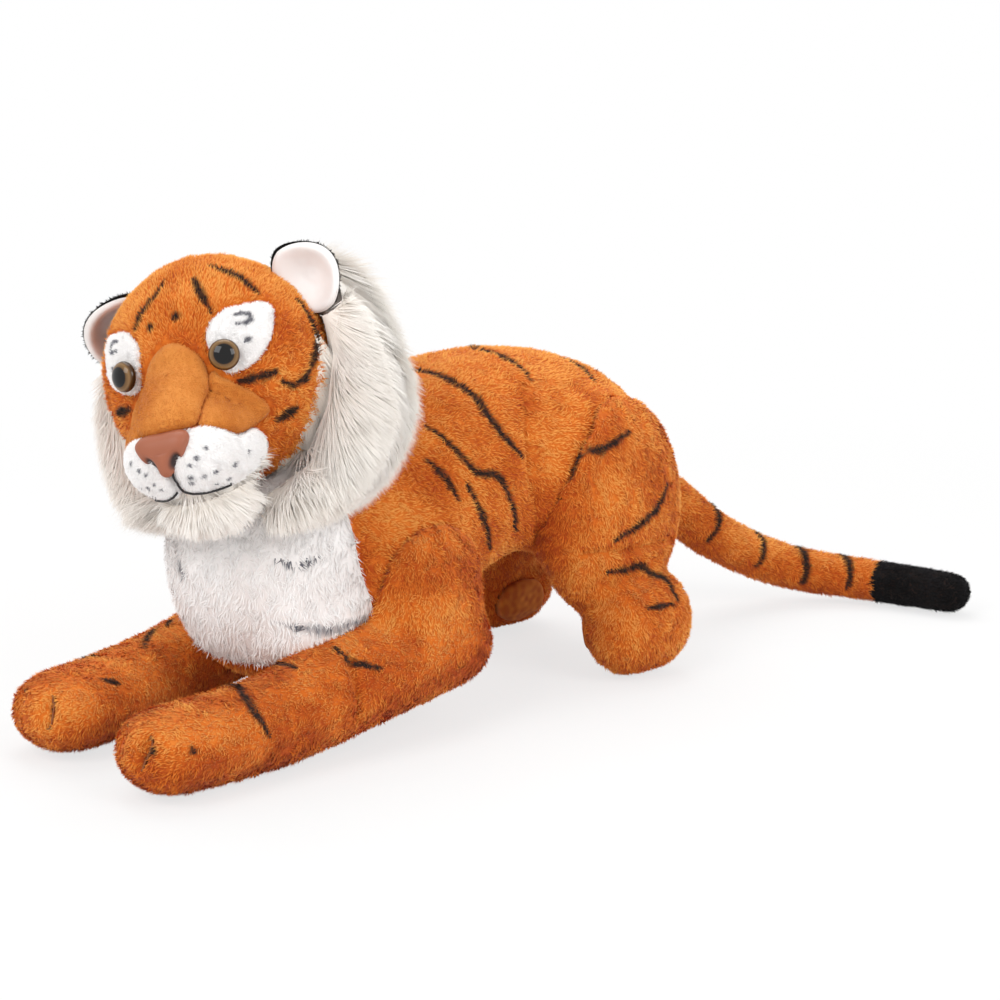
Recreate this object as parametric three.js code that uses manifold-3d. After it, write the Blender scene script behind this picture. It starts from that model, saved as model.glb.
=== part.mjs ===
// A stuffed tiger that lies on its belly with its head turned to its left.
// It faces -Y, its left side is +X, and it stands on z = 0. All lengths are in millimetres.
// Each stuffed form is a cloth cover round a fibre filling, and covers meet at sewn seams.

import * as THREE from 'three';
import { mergeVertices } from 'three/addons/utils/BufferGeometryUtils.js';
import Module from 'manifold-3d';

const manifold = await Module();
manifold.setup();

// Cloth and seams
const clothThickness = 6; // backing and pile together
const seamGap = 0.3; // between two covers at a seam
const fillingGap = 0.4; // between a cover and its filling
const floorFlat = 0.5; // how deep a form is pressed flat where it lies on the floor

// Torso
const bodyLength = 572; // chest to rump
const chestAhead = 276; // shoulder line to the front of the chest
const backHeight = 336; // floor to the top of the back
const bodyWidth = 208;
const chestRound = 96; // depth of the rounded chest
const rumpRound = 125; // depth of the rounded rump

// Bib
const bibWidth = 192;
const bibHeight = 212;
const bibBottom = 44; // floor to its lowest point
const bibDepth = 140; // how far back from the chest its sides reach

// Neck and head
const headAside = -13; // the head is carried a little to its right
const headAhead = 225;
const headHeight = 340;
const headTurn = 30; // degrees to its left
const headTilt = 14; // degrees, the left ear up
const headWidth = 214;
const headLength = 190; // back of the head to the brow
const headTall = 218;
const neckLean = 55; // degrees of the neck's axis above the floor
const neckDrop = 78; // head centre to the neck seam
const neckRadius = 74;
const headTurnLimit = 15; // degrees each way

// Snout
const snoutWidth = 118;
const snoutTall = 92;
const snoutReach = 152; // head centre to the end of the snout
const snoutDrop = 52; // head centre down to the snout's middle
const snoutRound = 70; // depth of the snout's rounded end
const bridgeWidth = 60;
const bridgeRise = 44; // head centre up to the top of the bridge
const bridgeDepth = 34;
const muzzleTop = 8; // above the snout's middle, where the white panels begin
const chinWidth = 92;
const chinTall = 64;
const chinLength = 70;

// Eyes
const eyeSpacing = 96;
const eyeRise = 15; // above the head centre
const eyeDiameter = 27;
const eyeDome = 8; // how far the eye stands out
const eyeSink = 2; // how far it is pressed into the pile
const patchWidth = 60;
const patchHeight = 58;
const patchAside = 11; // eye to the middle of its patch
const patchRise = 17;

// Nose
const noseWidth = 52;
const noseHeight = 38;
const noseLift = 4; // above the snout's middle
const noseDepth = 12; // how far it stands out of the cloth
const noseSink = 3; // how far it is pressed into the cloth

// Stems and washers
const stemDiameter = 5;
const stemLength = 20;
const washerDiameter = 20;
const washerThickness = 2.5;
const washerPlay = 0.25; // round the stem, and between washer and filling

// Ears
const earWidth = 72;
const earHeight = 44;
const earBulge = 14; // half the depth of the cupped ear
const earPanel = 6; // thickness of one ear panel
const earSpacing = 176;
const earRise = 56;
const earBack = 20;
const earSplay = 54; // degrees that each ear leans out
const earFoldLimit = 20; // degrees forward
const earSink = 16; // how far the ear's oval reaches into the head

// Mane
const maneRadius = 124; // head centre to the middle of the strip, at the height of the ears
const maneWidth = 64; // at the ears
const maneLowWidth = 84; // and below the cheeks
const maneThickness = 70;
const maneBack = 40;
const maneRound = 30;
const maneRightShare = 0.91; // the right strip lies this much closer, as the head is turned

// Front legs
const shoulderAside = 92;
const shoulderBack = -76; // place of the shoulder along the body
const shoulderHeight = 196; // floor to the top of the upper arm
const upperArmWidth = 92;
const upperArmDepth = 132;
const pawReach = 405; // shoulder line to the tip of the paw
const pawAside = 74;
const forearmAside = 102;
const forearmDiameter = 92;
const pawWidth = 112;
const pawHeight = 82;
const pawRound = 46;
const elbowBack = -10; // the elbow's end along the body
const elbowLift = 42; // the elbow is carried clear of the floor
const legLimit = 10; // degrees that any leg swings out

// Hind legs
const hipAside = 84;
const hipBack = 184;
const hipHeight = 166;
const thighWidth = 106;
const thighLength = 192;
const thighTall = 230;
const footAside = 116;
const footFront = 130;
const footLength = 126;
const footWidth = 94;
const footHeight = 112;
const footRound = 44;
const farFootBack = 26; // the right foot lies this much further back
const farFootIn = 12; // and this much nearer the middle
const solePadWidth = 58;
const solePadHeight = 44;
const solePadTurn = 75; // degrees from straight ahead, as the soles look inwards

// Tail
const tailRootDiameter = 66;
const tailMiddleDiameter = 58;
const tailTipDiameter = 50;
const tailRootBack = 296;
const tailRootHeight = 166;
const tailReach = 320; // root to the far bend, along the body
const tailSweep = 228; // root to the tip, to the left
const tailTipLength = 112; // of black cloth
const tailRound = 26;
const tailLimit = 15; // degrees of swing each way

// Threads
const threadDiameter = 2.4;
const threadLift = 0.4; // between thread and cloth

// How finely the forms are faceted, in counts
const sidesRound = 20;
const sidesLimb = 12;
const capRings = 4;
const threadSteps = 6;
const threadSides = 6;
const headSteps = 6; // places at which a turning head clears its neighbours
const fillingSteps = 2; // its filling stands further off, so fewer do
const earSteps = 6;
const limbSteps = 1; // a limb only moves away from the torso, so its limits are enough

const reach = 3 * bodyLength; // larger than the whole animal, for cutting shapes
const degrees = THREE.MathUtils.degToRad;
const up = new THREE.Vector3(0, 0, 1);
const forward = new THREE.Vector3(0, -1, 0);
const backward = new THREE.Vector3(0, 1, 0);

// Finishes
const finish = (color, roughness, metalness = 0) =>
  new THREE.MeshStandardMaterial({ color, roughness, metalness });
const orangePlush = finish(0xc86e28, 0.95);
const whitePlush = finish(0xe6e1dc, 0.95);
const creamPile = finish(0xe8e2da, 0.95);
const whiteVelvet = finish(0xeeeae6, 0.9);
const tanVelvet = finish(0xd28c41, 0.9);
const blackPlush = finish(0x1b1a1c, 0.95);
const fibre = finish(0xf4f4f0, 1);
const brownVinyl = finish(0xb96e55, 0.5);
const eyePlastic = finish(0x4a3212, 0.1);
const washerPlastic = finish(0xf0f0ee, 0.5);
const blackThread = finish(0x201c1c, 0.7);
const brownThread = finish(0x7a4a20, 0.7);

// A closed geometry as a solid that can be cut and joined
function solidOf(geometry) {
  const bare = geometry.clone();
  bare.deleteAttribute('normal');
  bare.deleteAttribute('uv');
  const merged = mergeVertices(bare);
  return new manifold.Manifold(
    new manifold.Mesh({
      numProp: 3,
      vertProperties: new Float32Array(merged.attributes.position.array),
      triVerts: new Uint32Array(merged.index.array),
    })
  );
}

// A solid as a named mesh, without the crumbs that cutting can leave
function pieceOf(name, solid, material) {
  const [main] = solid.decompose().sort((one, other) => other.volume() - one.volume());
  const { vertProperties, triVerts } = main.getMesh();
  const geometry = new THREE.BufferGeometry();
  geometry.setAttribute('position', new THREE.BufferAttribute(vertProperties, 3));
  geometry.setIndex(new THREE.BufferAttribute(triVerts, 1));
  geometry.computeVertexNormals();
  const piece = new THREE.Mesh(geometry, material);
  piece.name = name;
  return piece;
}

// Places of the rings along a form: how far along, how full, and which way swelling pushes them
function ringPlaces({ startRound, endRound, rings }, length, caps) {
  const places = [];
  for (let i = 1; i <= caps; i += 1) {
    const turn = ((i / caps) * Math.PI) / 2;
    places.push({ at: startRound * (1 - Math.cos(turn)), full: Math.sin(turn), push: -Math.cos(turn) });
  }
  const straight = length - startRound - endRound;
  for (let i = 1; i < rings; i += 1) {
    places.push({ at: startRound + (straight * i) / rings, full: 1, push: 0 });
  }
  for (let i = caps; i >= 1; i -= 1) {
    const turn = ((i / caps) * Math.PI) / 2;
    const at = length - endRound * (1 - Math.cos(turn));
    places.push({ at, full: Math.sin(turn), push: Math.cos(turn) });
  }
  return places;
}

// A stuffed form: oval rings along a smooth spine, rounded at both ends, swollen by a constant
function stuffed(form, swell = 0, caps = capRings) {
  const spine = new THREE.CatmullRomCurve3(form.spine);
  const length = spine.getLength();
  const girth = new THREE.CubicInterpolant(
    form.girths.map(([at]) => at),
    form.girths.flatMap(([, side, above, below]) => [side, above, below]),
    3
  );
  const points = [];
  const faces = [];
  const { sides } = form;
  const addPoint = ({ at, full, push }, turn) => {
    const share = at / length;
    const ahead = spine.getTangentAt(share);
    const aside = new THREE.Vector3().crossVectors(ahead, form.top).normalize();
    const above = new THREE.Vector3().crossVectors(aside, ahead);
    const [wide, high, low] = girth.evaluate(share);
    const point = spine.getPointAt(share).addScaledVector(ahead, push * swell);
    point.addScaledVector(aside, Math.cos(turn) * full * (wide + swell));
    point.addScaledVector(above, Math.sin(turn) * full * ((Math.sin(turn) > 0 ? high : low) + swell));
    points.push(point.x, point.y, point.z);
  };
  const places = ringPlaces(form, length, caps);
  addPoint({ at: 0, full: 0, push: -1 }, 0);
  for (const place of places) {
    for (let j = 0; j < sides; j += 1) {
      addPoint(place, (2 * Math.PI * j) / sides);
    }
  }
  addPoint({ at: length, full: 0, push: 1 }, 0);
  const last = points.length / 3 - 1;
  const ringStart = (ring) => 1 + ring * sides;
  for (let j = 0; j < sides; j += 1) {
    const next = (j + 1) % sides;
    faces.push(0, ringStart(0) + j, ringStart(0) + next);
    for (let ring = 0; ring < places.length - 1; ring += 1) {
      const [a, b] = [ringStart(ring) + j, ringStart(ring) + next];
      const [c, d] = [a + sides, b + sides];
      faces.push(a, c, d, a, d, b);
    }
    const end = ringStart(places.length - 1);
    faces.push(end + j, last, end + next);
  }
  const geometry = new THREE.BufferGeometry();
  geometry.setAttribute('position', new THREE.Float32BufferAttribute(points, 3));
  geometry.setIndex(faces);
  return solidOf(geometry);
}

// The inside of a form, faceted half as finely: the cover's inner face, or the filling in it
function lining(form, swell) {
  const coarse = { ...form, sides: form.sides / 2, rings: Math.ceil(form.rings / 2) };
  return stuffed(coarse, swell, capRings / 2);
}
const innerFace = (form) => lining(form, -clothThickness);
const fillingOf = (form) => lining(form, -clothThickness - fillingGap);

// An oval form with its long axis between two points
function ovalForm(start, end, side, half, sides, top = up) {
  const round = start.distanceTo(end) / 2;
  return {
    spine: [start, start.clone().lerp(end, 1 / 2), end],
    girths: [
      [0, side, half, half],
      [1, side, half, half],
    ],
    startRound: round,
    endRound: round,
    rings: 1,
    sides,
    top,
  };
}

// Everything on the far side of a plane, as a solid
function beyond(point, normal) {
  const block = new THREE.BoxGeometry(reach, reach, reach);
  block.translate(0, 0, reach / 2);
  const turn = new THREE.Quaternion().setFromUnitVectors(up, normal.clone().normalize());
  block.applyQuaternion(turn);
  block.translate(point.x, point.y, point.z);
  return solidOf(block);
}

// An outline in x and z, extruded back along y from one depth to another
function throughFront(outline, from, to) {
  const prism = new THREE.ExtrudeGeometry(new THREE.Shape(outline), {
    depth: to - from,
    bevelEnabled: false,
  });
  prism.rotateX(Math.PI / 2);
  prism.translate(0, to, 0);
  return solidOf(prism);
}

// A closed smooth outline through points given as shares of a width and a height
function outlineOf(shares, width, height, centreX, centreZ, grow = 0) {
  const points = shares.map(
    ([x, z]) => new THREE.Vector3(centreX + x * width, centreZ + z * height, 0)
  );
  const middle = new THREE.Vector3(centreX, centreZ, 0);
  const loop = new THREE.CatmullRomCurve3(points, true);
  const smooth = loop.getPoints(2 * shares.length).slice(0, -1);
  return smooth.map((point) => {
    const out = point.clone().sub(middle).setLength(grow);
    return new THREE.Vector2(point.x + out.x, point.y + out.y);
  });
}

// A solid of one group's frame, seen from another group's frame
function seenFrom(group, solid) {
  group.updateWorldMatrix(true, false);
  return solid.transform(group.matrixWorld.clone().invert().elements);
}

// A solid turned about a point, for the room that a moving seam needs
function turnedAbout(solid, pivot, axis, angle) {
  const turn = new THREE.Matrix4().makeTranslation(pivot.x, pivot.y, pivot.z);
  turn.multiply(new THREE.Matrix4().makeRotationAxis(axis, angle));
  turn.multiply(new THREE.Matrix4().makeTranslation(-pivot.x, -pivot.y, -pivot.z));
  return solid.transform(turn.elements);
}

// What a neighbour sweeps, seen from a piece that turns from one limit to the other
function sweptBy(solid, pivot, axis, low, high, steps) {
  let swept = solid;
  for (let i = 0; i <= steps; i += 1) {
    const limit = low + ((high - low) * i) / steps;
    swept = swept.add(turnedAbout(solid, pivot, axis, degrees(-limit)));
  }
  return swept;
}

const bothSides = [
  ['left', 1],
  ['right', -1],
];
const floor = beyond(new THREE.Vector3(0, 0, 0), up.clone().negate());

const tiger = new THREE.Group();

// Torso: heights are shares of the back's height, widths of the body's width
const torsoShares = [
  // along, middle height, half height, half width
  [0, 0.4, 0.33, 0.46],
  [0.19, 0.49, 0.385, 0.48],
  [0.36, 0.575, 0.365, 0.48],
  [0.52, 0.65, 0.346, 0.48],
  [0.66, 0.68, 0.318, 0.47],
  [0.78, 0.64, 0.31, 0.48],
  [0.9, 0.545, 0.32, 0.44],
  [1, 0.48, 0.3, 0.38],
];
const torsoForm = {
  spine: torsoShares.map(
    ([along, middle]) => new THREE.Vector3(0, along * bodyLength - chestAhead, middle * backHeight)
  ),
  girths: torsoShares.map(([along, , half, side]) => [
    along,
    side * bodyWidth,
    half * backHeight,
    half * backHeight,
  ]),
  startRound: chestRound,
  endRound: rumpRound,
  rings: 8,
  sides: sidesRound,
  top: up,
};

// Neck: a flat seam square to the neck's axis, on which the head can turn, and the cone of room over it
const headCentre = new THREE.Vector3(headAside, -headAhead, headHeight);
const neckAxis = new THREE.Vector3(0, -Math.cos(degrees(neckLean)), Math.sin(degrees(neckLean)));
const neckPivot = headCentre.clone().addScaledVector(neckAxis, -neckDrop);
function headSpace(shift) {
  const profile = [
    new THREE.Vector2(0, shift),
    new THREE.Vector2(neckRadius, shift),
    new THREE.Vector2(neckRadius + reach, shift + reach),
    new THREE.Vector2(0, shift + reach),
  ];
  const space = new THREE.LatheGeometry(profile, 2 * sidesRound);
  space.applyQuaternion(new THREE.Quaternion().setFromUnitVectors(new THREE.Vector3(0, 1, 0), neckAxis));
  space.translate(neckPivot.x, neckPivot.y, neckPivot.z);
  return solidOf(space);
}

// Bib: shares of its width and height, counted from its middle
const bibShares = [
  [0, -0.5],
  [0.32, -0.44],
  [0.5, -0.22],
  [0.5, 0.06],
  [0.42, 0.3],
  [0.2, 0.5],
  [-0.2, 0.5],
  [-0.42, 0.3],
  [-0.5, 0.06],
  [-0.5, -0.22],
  [-0.32, -0.44],
];
const bibPrism = (grow) =>
  throughFront(
    outlineOf(bibShares, bibWidth, bibHeight, 0, bibBottom + bibHeight / 2, grow),
    -reach,
    bibDepth - chestAhead
  );

const torsoOuter = stuffed(torsoForm);
const torsoShell = torsoOuter
  .subtract(innerFace(torsoForm))
  .subtract(headSpace(-seamGap / 2))
  .subtract(floor);
const torsoCover = torsoShell.subtract(bibPrism(seamGap));
for (const [side, sign] of bothSides) {
  const half = beyond(new THREE.Vector3((sign * seamGap) / 2, 0, 0), new THREE.Vector3(sign, 0, 0));
  tiger.add(pieceOf(`torso_cover_${side}`, torsoCover.intersect(half), orangePlush));
}
tiger.add(pieceOf('chest_bib', torsoShell.intersect(bibPrism(0)), whitePlush));
tiger.add(
  pieceOf(
    'torso_filling',
    fillingOf(torsoForm).subtract(headSpace(-seamGap / 2)),
    fibre
  )
);

// Closing seam: the thread with which the belly was sewn shut, along the middle
const closingShares = [0.3, 0.38, 0.46, 0.54]; // along the torso
const closingStarts = closingShares.map(
  (along) => new THREE.Vector3(0, along * bodyLength - chestAhead, -reach)
);
const closingThread = threadOver(torsoOuter, closingStarts, up).subtract(stuffed(torsoForm, threadLift));
tiger.add(pieceOf('closing_thread', closingThread, brownThread));
const torsoRoom = stuffed(torsoForm, seamGap).subtract(headSpace(seamGap / 2));

// Head: a group at the head's centre, so its pieces are written as if it looked straight ahead
const head = new THREE.Group();
head.position.copy(headCentre);
head.rotation.set(0, -degrees(headTilt), degrees(headTurn), 'ZXY');
tiger.add(head);

const domeForm = {
  spine: [
    new THREE.Vector3(0, headLength / 2, 0),
    new THREE.Vector3(0, 0, 0),
    new THREE.Vector3(0, -headLength / 2, 0),
  ],
  girths: [
    [0, headWidth / 2, headTall / 2, headTall / 2],
    [1, headWidth / 2, headTall / 2, headTall / 2],
  ],
  startRound: headLength / 2,
  endRound: headLength / 2,
  rings: 1,
  sides: sidesRound,
  top: up,
};
const snoutForm = {
  spine: [
    new THREE.Vector3(0, 0, -snoutDrop),
    new THREE.Vector3(0, -snoutReach / 2, -snoutDrop),
    new THREE.Vector3(0, -snoutReach, -snoutDrop),
  ],
  girths: [
    [0, snoutWidth / 2, snoutTall / 2, snoutTall / 2],
    [1, snoutWidth / 2, snoutTall / 2, snoutTall / 2],
  ],
  startRound: snoutRound / 2,
  endRound: snoutRound,
  rings: 2,
  sides: sidesRound,
  top: up,
};
const bridgeForm = {
  spine: [
    new THREE.Vector3(0, -headLength / 4, bridgeRise - bridgeDepth / 2),
    new THREE.Vector3(0, -headLength / 2, (bridgeRise - snoutDrop) / 2),
    new THREE.Vector3(0, -snoutReach, -snoutDrop),
  ],
  girths: [
    [0, bridgeWidth / 2, bridgeDepth / 2, bridgeDepth / 2],
    [1, bridgeWidth / 2, bridgeDepth / 2, bridgeDepth / 2],
  ],
  startRound: bridgeDepth / 2,
  endRound: bridgeDepth,
  rings: 3,
  sides: sidesLimb,
  top: up,
};
const torsoTurned = seenFrom(
  head,
  sweptBy(torsoRoom, neckPivot, neckAxis, -headTurnLimit, headTurnLimit, headSteps)
);
const domeOuter = stuffed(domeForm);
const domeShell = domeOuter.subtract(stuffed(domeForm, -clothThickness)).subtract(torsoTurned);
const torsoWide = lining(torsoForm, 2 * clothThickness).subtract(headSpace(seamGap / 2));
const torsoTurnedWide = seenFrom(
  head,
  sweptBy(torsoWide, neckPivot, neckAxis, -headTurnLimit, headTurnLimit, fillingSteps)
);
const snout = (swell) => stuffed(snoutForm, swell).add(stuffed(bridgeForm, swell));
const snoutOuter = snout(0);
const snoutShell = snoutOuter.subtract(innerFace(snoutForm).add(innerFace(bridgeForm)));
const snoutPanels = snoutShell.subtract(stuffed(domeForm, seamGap));

// A point on a form, and the way out of the cloth there
function seatOn(solid, origin, direction) {
  const target = pieceOf('target', solid, fibre);
  const [hit] = new THREE.Raycaster(origin, direction).intersectObject(target);
  return { point: hit.point, normal: hit.face.normal };
}

// A thread laid on the cloth, through the places where rays from some starts meet it
function threadOver(solid, starts, direction) {
  const points = starts.map((start) => {
    const seat = seatOn(solid, start, direction);
    return seat.point.addScaledVector(seat.normal, threadDiameter / 2 + threadLift);
  });
  const section = new THREE.Shape();
  section.absarc(0, 0, threadDiameter / 2, 0, 2 * Math.PI);
  const cord = new THREE.ExtrudeGeometry(section, {
    extrudePath: new THREE.CatmullRomCurve3(points),
    steps: threadSteps,
    curveSegments: threadSides / 2,
  });
  return solidOf(cord);
}

// Eye: a moulded dome on a stem, lathed about its own z axis
function eyeForm(grow) {
  const radius = eyeDiameter / 2 + grow;
  const stem = stemDiameter / 2 + grow;
  const profile = [new THREE.Vector2(0, -stemLength - grow), new THREE.Vector2(stem, -stemLength - grow)];
  profile.push(new THREE.Vector2(stem, -eyeSink - grow), new THREE.Vector2(radius, -eyeSink - grow));
  for (let i = 0; i < capRings; i += 1) {
    const turn = ((i / capRings) * Math.PI) / 2;
    profile.push(new THREE.Vector2(radius * Math.cos(turn), (eyeDome + grow) * Math.sin(turn)));
  }
  profile.push(new THREE.Vector2(0, eyeDome + grow));
  const lathe = new THREE.LatheGeometry(profile, sidesLimb);
  lathe.rotateX(Math.PI / 2);
  return solidOf(lathe);
}

// Washer: a ring pressed on a stem, its front face this far behind the origin
function washerForm(depth, grow) {
  const inner = stemDiameter / 2 + washerPlay;
  const outer = washerDiameter / 2 + grow;
  const profile = [
    new THREE.Vector2(inner - grow, -depth + grow),
    new THREE.Vector2(inner - grow, -depth - washerThickness - grow),
    new THREE.Vector2(outer, -depth - washerThickness - grow),
    new THREE.Vector2(outer, -depth + grow),
    new THREE.Vector2(inner - grow, -depth + grow),
  ];
  const lathe = new THREE.LatheGeometry(profile, sidesLimb);
  lathe.rotateX(Math.PI / 2);
  return solidOf(lathe);
}

// Moves a solid written about its own z axis to a seat in the head
function seated(solid, place) {
  place.updateMatrix();
  return solid.transform(place.matrix.elements);
}

const patchShares = [
  [-0.42, -0.42],
  [0.02, -0.5],
  [0.42, -0.3],
  [0.5, 0.12],
  [0.34, 0.44],
  [-0.05, 0.5],
  [-0.38, 0.32],
  [-0.5, -0.06],
];
let domeCover = domeShell.subtract(snout(seamGap));
let headFilling = fillingOf(domeForm)
  .add(fillingOf(snoutForm))
  .add(fillingOf(bridgeForm))
  .subtract(torsoTurnedWide);
const washerDepth = clothThickness + washerPlay;
const noseWasherDepth = 2 * clothThickness;
for (const [side, sign] of bothSides) {
  const aside = (sign * eyeSpacing) / 2;
  const seat = seatOn(domeOuter, new THREE.Vector3(aside, -reach, eyeRise), backward);
  const place = new THREE.Group();
  place.position.copy(seat.point);
  place.quaternion.setFromUnitVectors(up, seat.normal);
  const outline = (grow) =>
    outlineOf(
      patchShares.map(([x, z]) => [sign * x, z]),
      patchWidth,
      patchHeight,
      aside + sign * patchAside,
      eyeRise + patchRise,
      grow
    );
  const patch = domeShell.intersect(throughFront(outline(0), -reach, 0)).subtract(snout(seamGap));
  domeCover = domeCover.subtract(throughFront(outline(seamGap), -reach, 0));
  const eyeRoom = seated(eyeForm(seamGap).add(washerForm(washerDepth, seamGap)), place);
  head.add(pieceOf(`eye_patch_${side}`, patch.subtract(eyeRoom), whiteVelvet));
  headFilling = headFilling.subtract(eyeRoom);
  place.add(pieceOf(`eye_${side}`, eyeForm(0), eyePlastic));
  place.add(pieceOf(`eye_washer_${side}`, washerForm(washerDepth, 0), washerPlastic));
  domeCover = domeCover.subtract(eyeRoom);
  head.add(place);
}
head.add(pieceOf('head_cover', domeCover, orangePlush));

// Nose: a moulded wedge, wide at the top, that follows the end of the snout
const noseShares = [
  [0, 0.5],
  [0.36, 0.48],
  [0.5, 0.3],
  [0.4, -0.02],
  [0.2, -0.3],
  [0, -0.5],
  [-0.2, -0.3],
  [-0.4, -0.02],
  [-0.5, 0.3],
  [-0.36, 0.48],
];
const noseRise = noseLift - snoutDrop;
const noseSeat = seatOn(snoutOuter, new THREE.Vector3(0, -reach, noseRise), backward);
const nosePlace = new THREE.Group();
nosePlace.position.copy(noseSeat.point);
nosePlace.quaternion.setFromUnitVectors(up, forward);
head.add(nosePlace);
function noseForm(grow) {
  const outline = outlineOf(noseShares, noseWidth, noseHeight, 0, noseRise, grow);
  const tip = noseSeat.point.y - noseDepth - grow;
  const back = noseSeat.point.y + noseDepth + grow;
  const block = throughFront(outline, tip, back);
  const swelling = ovalForm(
    new THREE.Vector3(0, back, noseRise),
    new THREE.Vector3(0, tip, noseRise),
    noseWidth / 2 + noseSink + grow,
    noseHeight / 2 + noseSink + grow,
    sidesRound
  );
  const stem = new THREE.CylinderGeometry(
    stemDiameter / 2 + grow,
    stemDiameter / 2 + grow,
    stemLength + 2 * grow,
    sidesLimb
  );
  stem.rotateX(Math.PI / 2);
  stem.translate(0, 0, -stemLength / 2);
  return block
    .intersect(stuffed(swelling))
    .subtract(snout(-noseSink - grow))
    .add(seated(solidOf(stem), nosePlace));
}
const noseRoom = noseForm(seamGap).add(seated(washerForm(noseWasherDepth, seamGap), nosePlace));
head.add(pieceOf('nose', noseForm(0), brownVinyl));
nosePlace.add(pieceOf('nose_washer', washerForm(noseWasherDepth, 0), washerPlastic));
head.add(pieceOf('head_filling', headFilling.subtract(noseRoom), fibre));

// Snout panels: the bridge on top, a tan cheek each side, and a white muzzle each side below
const muzzleLevel = muzzleTop - snoutDrop;
const aboveMuzzle = beyond(new THREE.Vector3(0, 0, muzzleLevel + seamGap / 2), up);
const belowMuzzle = beyond(new THREE.Vector3(0, 0, muzzleLevel - seamGap / 2), up.clone().negate());
function outside(sign, distance) {
  return beyond(new THREE.Vector3(sign * distance, 0, 0), new THREE.Vector3(sign, 0, 0));
}
const upperPanels = snoutPanels.intersect(aboveMuzzle).subtract(noseRoom);
const lowerPanels = snoutPanels.intersect(belowMuzzle).subtract(noseRoom);
const bridge = upperPanels.subtract(outside(1, bridgeWidth / 2)).subtract(outside(-1, bridgeWidth / 2));
head.add(pieceOf('nose_bridge', bridge, tanVelvet));
for (const [side, sign] of bothSides) {
  const cheek = upperPanels.intersect(outside(sign, bridgeWidth / 2 + seamGap));
  const muzzle = lowerPanels.intersect(outside(sign, seamGap / 2));
  head.add(pieceOf(`cheek_panel_${side}`, cheek, tanVelvet));
  head.add(pieceOf(`muzzle_${side}`, muzzle, whiteVelvet));
}

// Mouth: one thread down the split under the nose, and out along each lip
const overSnout = ([aside, rise]) =>
  new THREE.Vector3((aside * snoutWidth) / 2, -reach, (rise * snoutTall) / 2 - snoutDrop);
const splitShares = [
  [0, -0.42],
  [0, -0.55],
  [0, -0.68],
];
const lipShares = [
  [0, -0.68],
  [0.14, -0.74],
  [0.3, -0.73],
  [0.44, -0.64],
];
const mirrored = lipShares.map(([aside, rise]) => [-aside, rise]);
const mouth = [splitShares, lipShares, mirrored]
  .map((line) => threadOver(snoutOuter, line.map(overSnout), backward))
  .reduce((joined, thread) => joined.add(thread))
  .subtract(snout(threadLift))
  .subtract(noseRoom);
head.add(pieceOf('mouth_thread', mouth, blackThread));

// Chin: a tuft of long pile under the muzzle
const chinForm = ovalForm(
  new THREE.Vector3(0, -snoutReach / 3, -snoutDrop - snoutTall / 2),
  new THREE.Vector3(0, -snoutReach / 3 - chinLength, -snoutDrop - snoutTall / 2),
  chinWidth / 2,
  chinTall / 2,
  sidesLimb
);
const chin = stuffed(chinForm)
  .subtract(snout(seamGap))
  .subtract(stuffed(domeForm, seamGap))
  .subtract(torsoTurned);
head.add(pieceOf('chin_tuft', chin, creamPile));

// Ears: two cupped panels each, hinged on the seam where they meet the head
const earTurn = new THREE.Vector3(1, 0, 0);
const earSeam = new THREE.Vector3(0, 0, 0);
const earRoom = {};
for (const [side, sign] of bothSides) {
  const ear = new THREE.Group();
  ear.position.set((sign * earSpacing) / 2, earBack, earRise);
  ear.rotation.set(0, sign * degrees(earSplay), 0);
  head.add(ear);
  const cup = (shift, grow = 0) =>
    stuffed(
      ovalForm(
        new THREE.Vector3(0, -shift, -earSink),
        new THREE.Vector3(0, -shift, earHeight),
        earWidth / 2,
        earBulge,
        sidesLimb,
        forward
      ),
      grow
    );
  ear.updateMatrix();
  const domeHere = stuffed(domeForm, seamGap).transform(ear.matrix.clone().invert().elements);
  const domeSwept = sweptBy(domeHere, earSeam, earTurn, 0, earFoldLimit, earSteps);
  const back = cup(0).subtract(cup(earPanel)).subtract(domeSwept);
  const front = cup(earPanel + seamGap).subtract(cup(2 * earPanel)).subtract(domeSwept);
  const whole = cup(0, seamGap).add(cup(earPanel, 2 * seamGap));
  const folded = sweptBy(whole, earSeam, earTurn, -earFoldLimit, 0, earSteps);
  earRoom[side] = folded.hull().transform(ear.matrix.elements);
  ear.add(pieceOf(`ear_back_${side}`, back, blackPlush));
  ear.add(pieceOf(`ear_front_${side}`, front, whiteVelvet));
}

// Mane: a strip of long pile from behind each ear, out over the shoulders and in under the chin
const maneShares = [
  // degrees above level, out of the radius, back of its place by the ears
  [42, 0.96, 1],
  [0, 0.98, 0.8],
  [-28, 1.12, 0.1],
  [-50, 1.26, -0.4],
  [-70, 1.2, -0.8],
  [-84, 1.1, -1.1],
];
for (const [side, sign] of bothSides) {
  const radius = sign > 0 ? maneRadius : maneRightShare * maneRadius;
  const maneForm = {
    spine: maneShares.map(
      ([turn, out, back]) =>
        new THREE.Vector3(
          sign * out * radius * Math.cos(degrees(turn)),
          back * maneBack,
          out * radius * Math.sin(degrees(turn))
        )
    ),
    girths: [
      [0, maneWidth / 2, maneThickness / 2, maneThickness / 2],
      [1 / 2, maneLowWidth / 2, maneThickness / 2, maneThickness / 2],
      [1, maneLowWidth / 2, maneThickness / 2, maneThickness / 2],
    ],
    startRound: maneRound,
    endRound: maneRound,
    rings: 7,
    sides: sidesLimb,
    top: forward,
  };
  const mane = stuffed(maneForm)
    .subtract(stuffed(domeForm, seamGap))
    .subtract(snout(seamGap))
    .subtract(stuffed(chinForm, seamGap))
    .subtract(earRoom[side])
    .intersect(outside(sign, seamGap / 2))
    .subtract(torsoTurned);
  head.add(pieceOf(`mane_${side}`, mane, creamPile));
}

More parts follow.
